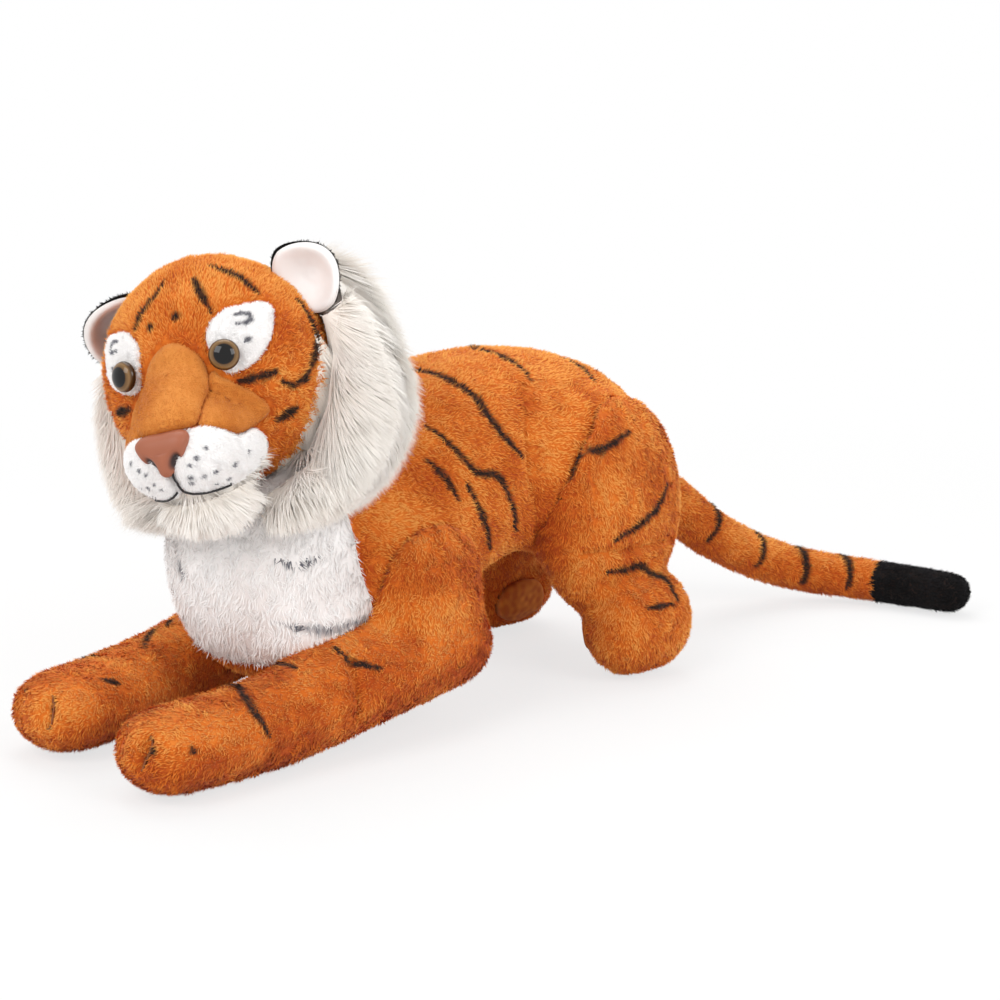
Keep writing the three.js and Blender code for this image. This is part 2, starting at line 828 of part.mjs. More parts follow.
// The axis about which a leg swings out
const outward = (sign) => new THREE.Vector3(0, 0, sign);

// Front legs: an upper arm and a forearm in one cover, which swings out about the back of the shoulder
const forearmShares = [
  // elbow to tip, share of the elbow's lift, of the bend inwards, and of the paw's fullness
  [0, 1, 0, 0],
  [0.32, 0.55, 0, 0],
  [0.62, 0, 0.45, 0],
  [0.85, 0, 0.8, 1],
  [1, 0, 1, 1],
];
const toeShares = [
  // out from the middle of the paw, up from its underside
  [0.38, 0.78],
  [0.4, 0.62],
  [0.38, 0.46],
];
for (const [side, sign] of bothSides) {
  const shoulder = new THREE.Group();
  shoulder.position.set(sign * shoulderAside, shoulderBack + upperArmDepth / 3, shoulderHeight / 2);
  tiger.add(shoulder);
  const upperArm = {
    spine: [
      new THREE.Vector3(sign * shoulderAside, shoulderBack, shoulderHeight),
      new THREE.Vector3((sign * (shoulderAside + forearmAside)) / 2, shoulderBack, shoulderHeight / 2),
      new THREE.Vector3(sign * forearmAside, shoulderBack, elbowLift),
    ],
    girths: [
      [0, upperArmWidth / 2, upperArmDepth / 2, upperArmDepth / 2],
      [1, upperArmWidth / 2, upperArmDepth / 2, upperArmDepth / 2],
    ],
    startRound: upperArmDepth / 2,
    endRound: forearmDiameter / 2,
    rings: 3,
    sides: sidesLimb,
    top: forward,
  };
  const mix = THREE.MathUtils.lerp;
  const forearm = {
    spine: forearmShares.map(
      ([along, lift, inward, paw]) =>
        new THREE.Vector3(
          sign * mix(forearmAside, pawAside, inward),
          mix(elbowBack, -pawReach, along),
          mix(forearmDiameter, pawHeight, paw) / 2 - floorFlat + lift * elbowLift
        )
    ),
    girths: forearmShares.map(([along, , , paw]) => [
      along,
      mix(forearmDiameter, pawWidth, paw) / 2,
      mix(forearmDiameter, pawHeight, paw) / 2,
      mix(forearmDiameter, pawHeight, paw) / 2,
    ]),
    startRound: forearmDiameter / 2,
    endRound: pawRound,
    rings: 6,
    sides: sidesLimb,
    top: up,
  };
  const torsoSwept = sweptBy(torsoRoom, shoulder.position, outward(sign), 0, legLimit, limbSteps);
  const inside = innerFace(upperArm).add(innerFace(forearm));
  const cover = stuffed(upperArm)
    .add(stuffed(forearm))
    .subtract(inside)
    .subtract(torsoSwept)
    .subtract(floor);
  const filling = fillingOf(upperArm).add(fillingOf(forearm)).subtract(torsoSwept);
  shoulder.add(pieceOf(`front_leg_cover_${side}`, seenFrom(shoulder, cover), orangePlush));
  shoulder.add(pieceOf(`front_leg_filling_${side}`, seenFrom(shoulder, filling), fibre));
  for (const [place, toe] of [['inner', -1], ['outer', 1]]) {
    const starts = toeShares.map(([out, rise]) =>
      new THREE.Vector3(sign * (pawAside + (toe * out * pawWidth) / 2), -reach, rise * pawHeight)
    );
    const thread = threadOver(stuffed(forearm), starts, backward).subtract(stuffed(forearm, threadLift));
    shoulder.add(pieceOf(`toe_thread_${side}_${place}`, seenFrom(shoulder, thread), brownThread));
  }
}

// Hind legs: a broad thigh and a stubby foot in one cover, which swings out about the back of the hip
for (const [side, sign] of bothSides) {
  const far = sign < 0 ? 1 : 0;
  const aside = footAside - far * farFootIn;
  const front = footFront + far * farFootBack;
  const hip = new THREE.Group();
  hip.position.set(sign * hipAside, hipBack + thighLength / 3, hipHeight);
  tiger.add(hip);
  const thigh = ovalForm(
    new THREE.Vector3(sign * hipAside, hipBack - thighLength / 2, hipHeight),
    new THREE.Vector3(sign * hipAside, hipBack + thighLength / 2, hipHeight),
    thighWidth / 2,
    thighTall / 2,
    sidesRound
  );
  const foot = {
    spine: [0, 1 / 2, 1].map(
      (share) =>
        new THREE.Vector3(sign * aside, front + footLength * (1 - share), footHeight / 2 - floorFlat)
    ),
    girths: [
      [0, footWidth / 2, footHeight / 2, footHeight / 2],
      [1, footWidth / 2, footHeight / 2, footHeight / 2],
    ],
    startRound: footRound,
    endRound: footRound,
    rings: 3,
    sides: sidesLimb,
    top: up,
  };
  const torsoSwept = sweptBy(torsoRoom, hip.position, outward(sign), 0, legLimit, limbSteps);
  const inside = innerFace(thigh).add(innerFace(foot));
  const shell = stuffed(thigh)
    .add(stuffed(foot))
    .subtract(inside)
    .subtract(torsoSwept)
    .subtract(floor);
  const soleShares = [
    [0, -0.5],
    [0.42, -0.3],
    [0.5, 0.1],
    [0.3, 0.5],
    [-0.3, 0.5],
    [-0.5, 0.1],
    [-0.42, -0.3],
  ];
  const sole = (grow) => {
    const outline = outlineOf(soleShares, solePadWidth, solePadHeight, 0, footHeight / 3, grow);
    const prism = throughFront(outline, -footLength, 0);
    const turned = turnedAbout(prism, new THREE.Vector3(), up, -sign * degrees(solePadTurn));
    return turned
      .translate(sign * aside, front + footLength / 2, 0)
      .intersect(stuffed(foot, clothThickness));
  };
  hip.add(pieceOf(`hind_leg_cover_${side}`, seenFrom(hip, shell.subtract(sole(seamGap))), orangePlush));
  hip.add(pieceOf(`sole_pad_${side}`, seenFrom(hip, shell.intersect(sole(0))), tanVelvet));
  const filling = fillingOf(thigh).add(fillingOf(foot)).subtract(torsoSwept);
  hip.add(pieceOf(`hind_leg_filling_${side}`, seenFrom(hip, filling), fibre));
}

// Tail: it comes down from the rump, lies on the floor and bends to the left
const tailLying = tailTipDiameter / 2 - floorFlat;
const tailShares = [
  // across the sweep, back along the reach, height above the floor
  [0, -0.08, 1.14],
  [0.024, 0.16, 0.86],
  [0.07, 0.4, 0.46],
  [0.19, 0.69, 0.13],
  [0.5, 0.9, 0.02],
  [1, 1, 0],
];
const tailRoot = new THREE.Group();
tailRoot.position.set(0, tailRootBack, tailRootHeight);
tiger.add(tailRoot);
const tailForm = {
  spine: tailShares.map(
    ([across, back, rise]) =>
      new THREE.Vector3(
        across * tailSweep,
        tailRootBack + back * tailReach,
        tailLying + rise * (tailRootHeight - tailLying)
      )
  ),
  girths: [
    [0, tailRootDiameter / 2, tailRootDiameter / 2, tailRootDiameter / 2],
    [0.45, tailMiddleDiameter / 2, tailMiddleDiameter / 2, tailMiddleDiameter / 2],
    [1, tailTipDiameter / 2, tailTipDiameter / 2, tailTipDiameter / 2],
  ],
  startRound: tailRound,
  endRound: tailRound,
  rings: 12,
  sides: sidesLimb,
  top: up,
};
const tailSpine = new THREE.CatmullRomCurve3(tailForm.spine);
const tipShare = 1 - tailTipLength / tailSpine.getLength();
const tipSeam = tailSpine.getPointAt(tipShare);
const tipWay = tailSpine.getTangentAt(tipShare);
const tipSide = (shift) => beyond(tipSeam.clone().addScaledVector(tipWay, shift), tipWay);
const tailSwept = sweptBy(torsoRoom, tailRoot.position, up, -tailLimit, tailLimit, 2 * limbSteps);
const tailShell = stuffed(tailForm).subtract(innerFace(tailForm)).subtract(tailSwept).subtract(floor);
const tailFilling = fillingOf(tailForm).subtract(tailSwept);
tailRoot.add(pieceOf('tail_cover', seenFrom(tailRoot, tailShell.subtract(tipSide(0))), orangePlush));
tailRoot.add(pieceOf('tail_tip', seenFrom(tailRoot, tailShell.intersect(tipSide(seamGap))), blackPlush));
tailRoot.add(pieceOf('tail_filling', seenFrom(tailRoot, tailFilling), fibre));

// The origin is on the floor, under the middle of the animal's box
const box = new THREE.Box3().setFromObject(tiger, true);
tiger.position.set(-(box.min.x + box.max.x) / 2, -(box.min.y + box.max.y) / 2, -box.min.z);
tiger.updateMatrixWorld(true);

export default tiger;
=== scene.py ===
from math import cos, pi, radians, sin, sqrt

import bpy
import numpy as np
from mathutils import Matrix, Vector
from mathutils.bvhtree import BVHTree


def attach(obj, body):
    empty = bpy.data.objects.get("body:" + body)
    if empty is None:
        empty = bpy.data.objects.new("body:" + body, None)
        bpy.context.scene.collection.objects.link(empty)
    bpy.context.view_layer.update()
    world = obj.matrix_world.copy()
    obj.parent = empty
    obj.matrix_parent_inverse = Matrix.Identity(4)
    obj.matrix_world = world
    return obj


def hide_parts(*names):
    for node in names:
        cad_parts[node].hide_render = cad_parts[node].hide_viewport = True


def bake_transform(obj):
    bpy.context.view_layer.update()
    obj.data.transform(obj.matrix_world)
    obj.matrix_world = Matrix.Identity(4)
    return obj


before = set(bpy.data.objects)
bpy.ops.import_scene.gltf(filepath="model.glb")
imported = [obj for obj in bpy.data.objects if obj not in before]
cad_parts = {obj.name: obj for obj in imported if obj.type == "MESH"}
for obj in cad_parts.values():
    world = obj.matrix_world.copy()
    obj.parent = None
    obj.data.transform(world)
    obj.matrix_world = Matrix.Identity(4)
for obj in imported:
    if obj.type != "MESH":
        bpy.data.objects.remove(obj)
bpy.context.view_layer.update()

# The view: the photograph looks at the animal's left front corner from a little above its back.
# The camera stands about 2.4 metres off, with a long lens.
MM = 0.001
LOOK_AT = Vector((-0.1116, 0.0734, 0.150))
CAMERA_PLACE = Vector((1.5525, -1.5509, 0.6612))
LENS = 81.3  # millimetres
CLIP_END = 100


def aimed_from(place):
    """The turn of a camera or lamp that looks from a place at the animal."""
    return (LOOK_AT - Vector(place)).to_track_quat("-Z", "Y").to_euler()


bpy.ops.object.camera_add(location=CAMERA_PLACE)
camera = bpy.context.object
camera.name = "camera"
camera.rotation_euler = aimed_from(CAMERA_PLACE)
camera.data.lens = LENS
camera.data.clip_end = CLIP_END
bpy.context.scene.camera = camera


# The studio: a pale floor that fades to white, and large soft lamps on both sides of the camera
# and over the animal's back. Only camera, glossy and transmission rays see the white, so it adds
# no light to the animal.
def fill_in(made, entries):
    for entry, value in entries.items():
        made.inputs[entry].default_value = value


def node(tree, kind, entries=None, **settings):
    """A new shader node, with its settings and the values of its inputs."""
    made = tree.nodes.new(kind)
    for name, value in settings.items():
        setattr(made, name, value)
    fill_in(made, entries or {})
    return made


def link(tree, start, output, end, entry):
    tree.links.new(start.outputs[output], end.inputs[entry])


def new_material(name):
    """A new material, its node tree and the Principled shader in it."""
    material = bpy.data.materials.new(name)
    material.use_nodes = True
    return material, material.node_tree, material.node_tree.nodes["Principled BSDF"]


def seen_directly(tree):
    """A value of 1 for camera, glossy and transmission rays, and 0 for all others."""
    rays = node(tree, "ShaderNodeLightPath")
    camera_or_glossy = node(tree, "ShaderNodeMath", operation="MAXIMUM")
    link(tree, rays, "Is Camera Ray", camera_or_glossy, 0)
    link(tree, rays, "Is Glossy Ray", camera_or_glossy, 1)
    any_of_them = node(tree, "ShaderNodeMath", operation="MAXIMUM")
    link(tree, camera_or_glossy, 0, any_of_them, 0)
    link(tree, rays, "Is Transmission Ray", any_of_them, 1)
    return any_of_them


WHITE = (1, 1, 1, 1)
FLOOR_RADIUS = 12
FLOOR_DROP = 0.0005  # below the paws, so no two faces share a plane
FLOOR_GREY = (0.88, 0.88, 0.88, 1)
FADE_START = 0.5  # metres from the middle of the floor
FADE_END = 1.6
FADE_LEAST = 0.72  # the share of plain white next to the animal
ROOM_COLOUR = (1, 0.99, 0.98, 1)
ROOM_STRENGTH = 0.62
bpy.ops.mesh.primitive_circle_add(
    vertices=64, radius=FLOOR_RADIUS, fill_type="TRIFAN", location=(0, 0, -FLOOR_DROP)
)
floor = bpy.context.object
floor.name = "floor"
paper, tree, _ = new_material("paper")
tree.nodes.clear()
matt = node(tree, "ShaderNodeBsdfDiffuse", {"Color": FLOOR_GREY})
white = node(tree, "ShaderNodeEmission", {"Strength": 1})
where = node(tree, "ShaderNodeTexCoord")
far = node(tree, "ShaderNodeVectorMath", operation="LENGTH")
link(tree, where, "Object", far, 0)
fade_range = {"From Min": FADE_START, "From Max": FADE_END, "To Min": FADE_LEAST, "To Max": 1}
fade = node(tree, "ShaderNodeMapRange", fade_range, interpolation_type="SMOOTHSTEP")
link(tree, far, "Value", fade, "Value")
share = node(tree, "ShaderNodeMath", operation="MULTIPLY")
link(tree, seen_directly(tree), 0, share, 0)
link(tree, fade, "Result", share, 1)
blend = node(tree, "ShaderNodeMixShader")
link(tree, share, 0, blend, 0)
link(tree, matt, "BSDF", blend, 1)
link(tree, white, "Emission", blend, 2)
link(tree, blend, "Shader", node(tree, "ShaderNodeOutputMaterial"), "Surface")
floor.data.materials.append(paper)

world = bpy.data.worlds.new("studio")
bpy.context.scene.world = world
world.use_nodes = True
tree = world.node_tree
tree.nodes.clear()
room = node(tree, "ShaderNodeBackground", {"Color": ROOM_COLOUR, "Strength": ROOM_STRENGTH})
backdrop = node(tree, "ShaderNodeBackground", {"Color": WHITE})
blend = node(tree, "ShaderNodeMixShader")
link(tree, seen_directly(tree), 0, blend, 0)
link(tree, room, "Background", blend, 1)
link(tree, backdrop, "Background", blend, 2)
link(tree, blend, "Shader", node(tree, "ShaderNodeOutputWorld"), "Surface")

LAMPS = [  # place, width, watts
    ((0.4, -2.6, 2.2), 1.6, 35),
    ((2.7, 0.1, 1.7), 1.4, 28),
    ((-0.9, 0.4, 2.6), 2.0, 29),
]
for place, width, watts in LAMPS:
    bpy.ops.object.light_add(type="AREA", location=place)
    lamp = bpy.context.object
    lamp.data.size = width
    lamp.data.energy = watts
    lamp.rotation_euler = aimed_from(place)
bpy.context.scene.view_settings.view_transform = "Standard"


# Torso: orange plush sewn along the back and belly over loose fibre filling. The cloth is the
# smooth skin below, and its pile is set on it tuft by tuft, so it can be combed and marked.
def deselect():
    bpy.ops.object.select_all(action="DESELECT")


def pick(piece):
    deselect()
    piece.select_set(True)
    bpy.context.view_layer.objects.active = piece


def apply(piece, kind, **settings):
    modifier = piece.modifiers.new(kind.lower(), kind)
    for name, value in settings.items():
        setattr(modifier, name, value)
    pick(piece)
    bpy.ops.object.modifier_apply(modifier=modifier.name)


def new_object(name, data):
    piece = bpy.data.objects.new(name, data)
    bpy.context.collection.objects.link(piece)
    return piece


def joined(name, nodes):
    """A copy of some CAD pieces, as one."""
    deselect()
    for node_name in nodes:
        part = new_object(name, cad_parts[node_name].data.copy())
        part.select_set(True)
        bpy.context.view_layer.objects.active = part
    if len(nodes) > 1:
        bpy.ops.object.join()
    piece = bpy.context.object
    piece.data.materials.clear()
    bpy.ops.object.mode_set(mode="EDIT")
    bpy.ops.mesh.select_all(action="SELECT")
    bpy.ops.mesh.remove_doubles(threshold=0.01 * MM)
    bpy.ops.object.mode_set(mode="OBJECT")
    return piece


def largest_part(piece):
    pick(piece)
    bpy.ops.mesh.separate(type="LOOSE")
    parts = sorted(bpy.context.selected_objects, key=lambda part: -len(part.data.vertices))
    for crumb in parts[1:]:
        bpy.data.objects.remove(crumb)
    return parts[0]


def skin_over(name, nodes, voxel, smoothings, inset, replaced=None):
    """A smooth closed skin round some CAD pieces. It replaces them, or those that are named last."""
    piece = joined(name, nodes)
    apply(piece, "REMESH", mode="VOXEL", voxel_size=voxel * MM)
    piece = largest_part(piece)
    apply(piece, "SMOOTH", factor=0.5, iterations=smoothings)
    apply(piece, "DISPLACE", strength=-inset * MM, mid_level=0)
    piece.name = name
    bpy.ops.object.shade_smooth()
    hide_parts(*(nodes if replaced is None else replaced))
    return piece


def points_of(piece):
    points = np.empty(3 * len(piece.data.vertices))
    piece.data.vertices.foreach_get("co", points)
    return points.reshape(-1, 3)


def normals_of(piece):
    normals = np.empty(3 * len(piece.data.vertices))
    piece.data.vertices.foreach_get("normal", normals)
    return normals.reshape(-1, 3)


def move_to(piece, points):
    piece.data.vertices.foreach_set("co", points.ravel())
    piece.data.update()


def unit(vectors):
    return vectors / np.maximum(np.linalg.norm(vectors, axis=-1, keepdims=True), 1e-9)


def ripple(points, wavelength, seed):
    """A smooth random height between about -1 and 1 at each point."""
    chance = np.random.default_rng(seed)
    ways = unit(chance.normal(size=(14, 3))) * 2 * pi / (wavelength * MM)
    ways *= chance.uniform(0.7, 1.4, size=(14, 1))
    phases = chance.uniform(0, 2 * pi, size=14)
    return np.sin(points @ ways.T + phases).sum(axis=1) / sqrt(14)


def sampled(skin, count, seed):
    """Even random places on a skin: points and normals."""
    chance = np.random.default_rng(seed)
    mesh = skin.data
    mesh.calc_loop_triangles()
    corners = np.empty(3 * len(mesh.loop_triangles), dtype=np.int32)
    mesh.loop_triangles.foreach_get("vertices", corners)
    corners = corners.reshape(-1, 3)
    points = points_of(skin)
    a, b, c = (points[corners[:, i]] for i in range(3))
    edge = np.cumsum(np.linalg.norm(np.cross(b - a, c - a), axis=1))
    steps = (np.arange(count) + chance.uniform(size=count)) / count * edge[-1]
    chosen = np.searchsorted(edge, steps)
    root = np.sqrt(chance.uniform(size=count))
    split = chance.uniform(size=count)
    shares = np.stack([1 - root, root * (1 - split), root * split], axis=1)[:, :, None]
    normals = normals_of(skin)
    places = (points[corners[chosen]] * shares).sum(axis=1)
    return places, unit((normals[corners[chosen]] * shares).sum(axis=1))


def tree_of(skin):
    return BVHTree.FromObject(skin, bpy.context.evaluated_depsgraph_get())


def nearest_to(skin):
    return tree_of(skin).find_nearest


def gap_to(skins, points):
    """How far each point is from the nearest of some skins."""
    finders = [nearest_to(skin) for skin in skins]
    return np.array([min(find(point)[3] for find in finders) for point in points])


def both(first, second):
    """A test for places that pass two tests."""
    return lambda points: first(points) & second(points)


def clear_of(skins, depth):
    """A test for places that aren't more than a depth inside any of the skins."""
    finders = [nearest_to(skin) for skin in skins]

    def test(points):
        kept = np.ones(len(points), dtype=bool)
        for i, point in enumerate(points):
            for find in finders:
                place, normal, _, _ = find(point)
                if (Vector(point) - place).dot(normal) < -depth * MM:
                    kept[i] = False
                    break
        return kept

    return test


def reach_of(line):
    """How far along a line each of its places is."""
    return np.concatenate([[0], np.cumsum(np.linalg.norm(np.diff(line, axis=0), axis=1))])


def places_at(line, reach, steps):
    """The places on a line at some steps, given the reach of each place that it has."""
    return np.stack([np.interp(steps, reach, line[:, k]) for k in range(3)], axis=-1)


def mark_strength(points, marks, edge=1.0):
    """How strongly the printed marks colour each place: 0 bare, 1 full."""
    strength = np.zeros(len(points))
    ragged = edge * (0.25 * ripple(points, 9, 5) + 0.3 * ripple(points, 22, 6))
    for line, width in marks:
        line = np.array(line, dtype=float) * MM
        taper = 0.5 if len(line) > 1 else 0
        if len(line) == 1:
            line = np.concatenate([line, line + 0.0001])
        reached = reach_of(line)
        reached = reached / reached[-1]
        for i, (start, end) in enumerate(zip(line[:-1], line[1:])):
            way = end - start
            share = np.clip((points - start) @ way / (way @ way + 1e-12), 0, 1)
            far = np.linalg.norm(points - start - share[:, None] * way, axis=1)
            along = reached[i] + share * (reached[i + 1] - reached[i])
            full = width * MM * (1 - taper + taper * np.sin(pi * np.clip(along, 0.04, 0.96)))
            here = np.clip(1.6 - far / np.maximum(full * (1 + 0.5 * ragged), 1e-5), 0, 1)
            strength = np.maximum(strength, here)
    return strength


def swell_near(piece, others, height, reach):
    """Lifts a skin where it comes close to others, so cloth runs into cloth in a soft fold."""
    points = points_of(piece)
    lift = height * np.exp(-((gap_to(others, points) / MM / reach) ** 2))
    move_to(piece, points + normals_of(piece) * lift[:, None] * MM)


def groove(piece, lines, depth):
    """Draws a skin in along seams and creases: lines of places, each with half its width."""
    points = points_of(piece)
    deep = depth * mark_strength(points, laid(lines, piece), 0) ** 1.5
    move_to(piece, points - normals_of(piece) * deep[:, None] * MM)


LAID_STEP = 6


def laid(marks, skin):
    """The same marks with their lines laid on a skin in short steps."""
    find = nearest_to(skin)
    on_skin = []
    for line, width in marks:
        line = np.array(line, dtype=float)
        if len(line) > 1:
            reach = reach_of(line)
            steps = np.linspace(0, reach[-1], max(3, int(reach[-1] / LAID_STEP)))
            line = places_at(line, reach, steps)
        on_skin.append(([find(Vector(place) * MM)[0] / MM for place in line], width))
    return on_skin


def add_values(mesh, **values):
    for name, numbers in values.items():
        layer = mesh.attributes.new(name, "FLOAT", "POINT")
        layer.data.foreach_set("value", np.ascontiguousarray(numbers, dtype=np.float32).ravel())


ROOT_DEPTH = 0.6  # how deep in the cloth a tuft starts


def tufts(name, roots, normals, ways, lengths, widths, rise, long_hair, tones, marks):
    """Closed three-sided tufts, each from its root along its way, rising from the cloth.
    They are broad and flat, so the pile takes light much as its cloth would."""
    count = len(roots)
    aside = unit(np.cross(normals, ways))
    wide = (widths * MM)[:, None]
    rise = rise[:, None]
    base = roots - ROOT_DEPTH * MM * normals
    ridge = base + normals * wide * (0.15 if long_hair else 0.2)
    tips = (np.cos(rise) + 0.25) * ways + 0.7 * np.sin(rise) * normals
    tips = roots + (lengths * MM)[:, None] * tips
    points = np.stack([base + aside * wide / 2, ridge, base - aside * wide / 2, tips], axis=1)
    per_tuft = points.shape[1]
    faces = [[2, 1, 0], [0, 1, 3], [1, 2, 3], [2, 0, 3]]
    maps = [[(0.1, 0), (0.5, 0.12), (0.9, 0)]]
    for left in (0.05, 0.35, 0.65):
        maps.append([(left, 0.12), (left + 0.28, 0.12), (left + 0.14, 0.97)])
    loops = np.array([corner for face in faces for corner in face])
    spots = np.array([spot for face in maps for spot in face])
    starts = np.arange(0, len(loops), 3)
    order = np.arange(count)
    mesh = bpy.data.meshes.new(name)
    mesh.vertices.add(count * per_tuft)
    mesh.vertices.foreach_set("co", points.ravel())
    mesh.loops.add(count * len(loops))
    mesh.loops.foreach_set("vertex_index", (loops + per_tuft * order[:, None]).ravel())
    mesh.polygons.add(count * len(faces))
    mesh.polygons.foreach_set("loop_start", (starts + len(loops) * order[:, None]).ravel())
    mesh.update(calc_edges=True)
    mesh.shade_flat()
    cells = int(np.ceil(np.sqrt(count)))
    corner = np.stack([order % cells, order // cells], axis=1)[:, None, :]
    layer = mesh.uv_layers.new(name="OFBake")
    layer.uv.foreach_set("vector", ((corner + spots[None]) / cells).ravel())
    add_values(
        mesh,
        along=np.tile([0, 0, 0, 1], count),
        tone=np.repeat(tones, per_tuft),
        mark=np.repeat(marks, per_tuft),
    )
    return new_object(name, mesh)


def tone_and_painted_top_light(points, normals):
    """Broad soft random patches in the pile, and painted light: lighter where it faces up and darker where
    it faces down, as light falls from above.
    """
    return 0.24 * ripple(points, 80, 17) + 0.14 * ripple(points, 30, 18) + 0.26 * normals[:, 2]


def pile(name, skin, count, length, width, comb, seed, rise=35, keep=None, marks=(), long_hair=False,
         stray=0.3, curl=18, ragged=0.25, thin=None, knap=None, spare=2.2, shade=tone_and_painted_top_light, within=None):
    """Pile on a skin: as many tufts as asked, combed, with the printed marks in them.
    More places than that are drawn, spare times as many, as the keep test drops some."""
    roots, normals = sampled(skin, int(count * spare), seed)
    if keep is not None:
        kept = keep(roots)
        roots, normals = roots[kept], normals[kept]
    chance = np.random.default_rng(seed + 1)
    chosen = np.sort(chance.permutation(len(roots))[:count])
    roots, normals = roots[chosen], normals[chosen]
    rough = np.ones(len(roots)) if knap is None else knap(roots)
    ways = comb(roots, normals)
    bend = np.stack([ripple(roots, curl, seed + i) for i in (2, 3, 4)], axis=1)
    loose = (stray * rough)[:, None]
    ways = unit(ways) + 1.6 * loose * bend + loose * chance.normal(size=roots.shape)
    ways = unit(ways - (ways * normals).sum(axis=1, keepdims=True) * normals)
    tuftiness = rough * ripple(roots, curl / 2, seed + 5)
    lengths = length * (1 + ragged * 0.6 * tuftiness + ragged * chance.uniform(-1, 1, len(roots)))
    if thin is not None:
        lengths = lengths * thin(roots)
    if within is not None:
        # where there is less room the hair is shorter, and not all alike, so its edge stays soft
        lengths = np.minimum(lengths, within(roots, ways) * chance.uniform(0.8, 1.1, len(roots)))
    # each tuft's tone: random clumps and patches, and from the default shade function painted top light
    tones = 0.5 + 0.11 * tuftiness + 0.06 * chance.normal(size=len(roots)) + shade(roots, normals)
    rises = radians(rise) * (1 + 0.2 * tuftiness + 0.2 * chance.uniform(-1, 1, len(roots)))
    # what shows at a place is the end of the pile rooted a little way before it
    shown = roots + ways * (0.75 * lengths * np.cos(rises) * MM)[:, None]
    strength = mark_strength(shown, laid(marks, skin)) if marks else np.zeros(len(roots))
    strength = np.clip(strength + 0.1 * chance.normal(size=len(roots)) * (strength > 0.02), 0, 1)
    widths = float(width) * chance.uniform(0.8, 1.2, len(roots))
    return tufts(name, roots, normals, ways, lengths, widths, rises, long_hair, np.clip(tones, 0, 1),
                 strength)


def combed(*way):
    """Pile that is combed one way all over."""
    return lambda roots, normals: np.tile(np.array(way, dtype=float), (len(roots), 1))


def dress(piece, material):
    piece.data.materials.clear()
    piece.data.materials.append(material)


# Cloth under pile takes its tufts' colour a quarter way up from the root, darker than the pile: painted
# shade under the pile. Its tone has the same painted top light as the pile.
def skin_values(piece, marks=(), height=0.25, speckle=0.3):
    points = points_of(piece)
    strength = mark_strength(points, laid(marks, piece)) if marks else np.zeros(len(points))
    tones = np.clip(0.5 + speckle * ripple(points, 9, 8) + tone_and_painted_top_light(points, normals_of(piece)), 0, 1)
    add_values(piece.data, along=np.full(len(points), height), tone=tones, mark=strength)


def mixed(tree, share, output, start, end):
    """A colour between two, by a value. Each of them is a colour, or a node and its output."""
    mix = node(tree, "ShaderNodeMix", data_type="RGBA")
    link(tree, share, output, mix, 0)
    for entry, source in ((6, start), (7, end)):
        if len(source) == 2:
            link(tree, *source, mix, entry)
        else:
            mix.inputs[entry].default_value = source
    return mix


def pile_colour_group():
    """Colour of pile from the attributes, with printed marks: dark at the root as painted shade deep in the
    pile, light at the tip as painted highlight.
    """
    group = bpy.data.node_groups.new("pile colour", "ShaderNodeTree")
    for name in ("Root", "Middle", "Tip", "Mark"):
        group.interface.new_socket(name, in_out="INPUT", socket_type="NodeSocketColor")
    group.interface.new_socket("Color", in_out="OUTPUT", socket_type="NodeSocketColor")
    start = node(group, "NodeGroupInput")
    end = node(group, "NodeGroupOutput")
    along, tone, mark = (
        node(group, "ShaderNodeAttribute", attribute_name=name) for name in ("along", "tone", "mark")
    )
    # the tone moves a place up or down the tuft's colours, by up to 0.35
    lift = node(group, "ShaderNodeMath", {1: 0.7, 2: -0.35}, operation="MULTIPLY_ADD")
    link(group, tone, "Fac", lift, 0)
    height = node(group, "ShaderNodeMath", operation="ADD", use_clamp=True)
    link(group, along, "Fac", height, 0)
    link(group, lift, 0, height, 1)
    lower = node(group, "ShaderNodeMapRange", {"From Max": 0.5})
    link(group, height, 0, lower, "Value")
    upper = node(group, "ShaderNodeMapRange", {"From Min": 0.5})
    link(group, height, 0, upper, "Value")
    low = mixed(group, lower, "Result", (start, "Root"), (start, "Middle"))
    high = mixed(group, upper, "Result", (low, 2), (start, "Tip"))
    marked = mixed(group, mark, "Fac", (high, 2), (start, "Mark"))
    link(group, marked, 2, end, "Color")
    return group


PILE_COLOUR = pile_colour_group()


def colour(red, green, blue):
    """An sRGB colour in 0 to 255, as the linear colour that nodes take."""
    shares = (part / 255 for part in (red, green, blue))
    return tuple(s / 12.92 if s < 0.04045 else ((s + 0.055) / 1.055) ** 2.4 for s in shares) + (1,)


def on_object(tree, kind, entries, **settings):
    """A texture or mapping node that is fixed to the object."""
    made = node(tree, kind, entries, **settings)
    link(tree, node(tree, "ShaderNodeTexCoord"), "Object", made, "Vector")
    return made


def grained(tree, shader, scale, detail, strength, distance):
    """Fine relief on a shader."""
    grain = on_object(tree, "ShaderNodeTexNoise", {"Scale": scale, "Detail": detail})
    relief = node(tree, "ShaderNodeBump", {"Strength": strength, "Distance": distance})
    link(tree, grain, "Fac", relief, "Height")
    link(tree, relief, "Normal", shader, "Normal")


def plush(name, root, middle, tip, mark, sheen=0.08, bump=0.3, grain=900):
    """Pile and its cloth, in the colours of its tufts from root to tip and of its print. The dark root and
    light tip are painted shade and painted highlight.
    """
    material, tree, shader = new_material(name)
    shades = {"Root": root, "Middle": middle, "Tip": tip, "Mark": mark}
    entries = {entry: colour(*shade) for entry, shade in shades.items()}
    tint = node(tree, "ShaderNodeGroup", entries, node_tree=PILE_COLOUR)
    link(tree, tint, "Color", shader, "Base Color")
    grained(tree, shader, grain, 3, bump, 0.0008)
    fill_in(shader, {"Roughness": 0.85, "Sheen Weight": sheen, "Sheen Roughness": 0.6,
                     "Specular IOR Level": 0.15})
    return material


orange_pile = plush("orange pile", (176, 72, 12), (218, 114, 32), (244, 172, 84), (36, 24, 20))

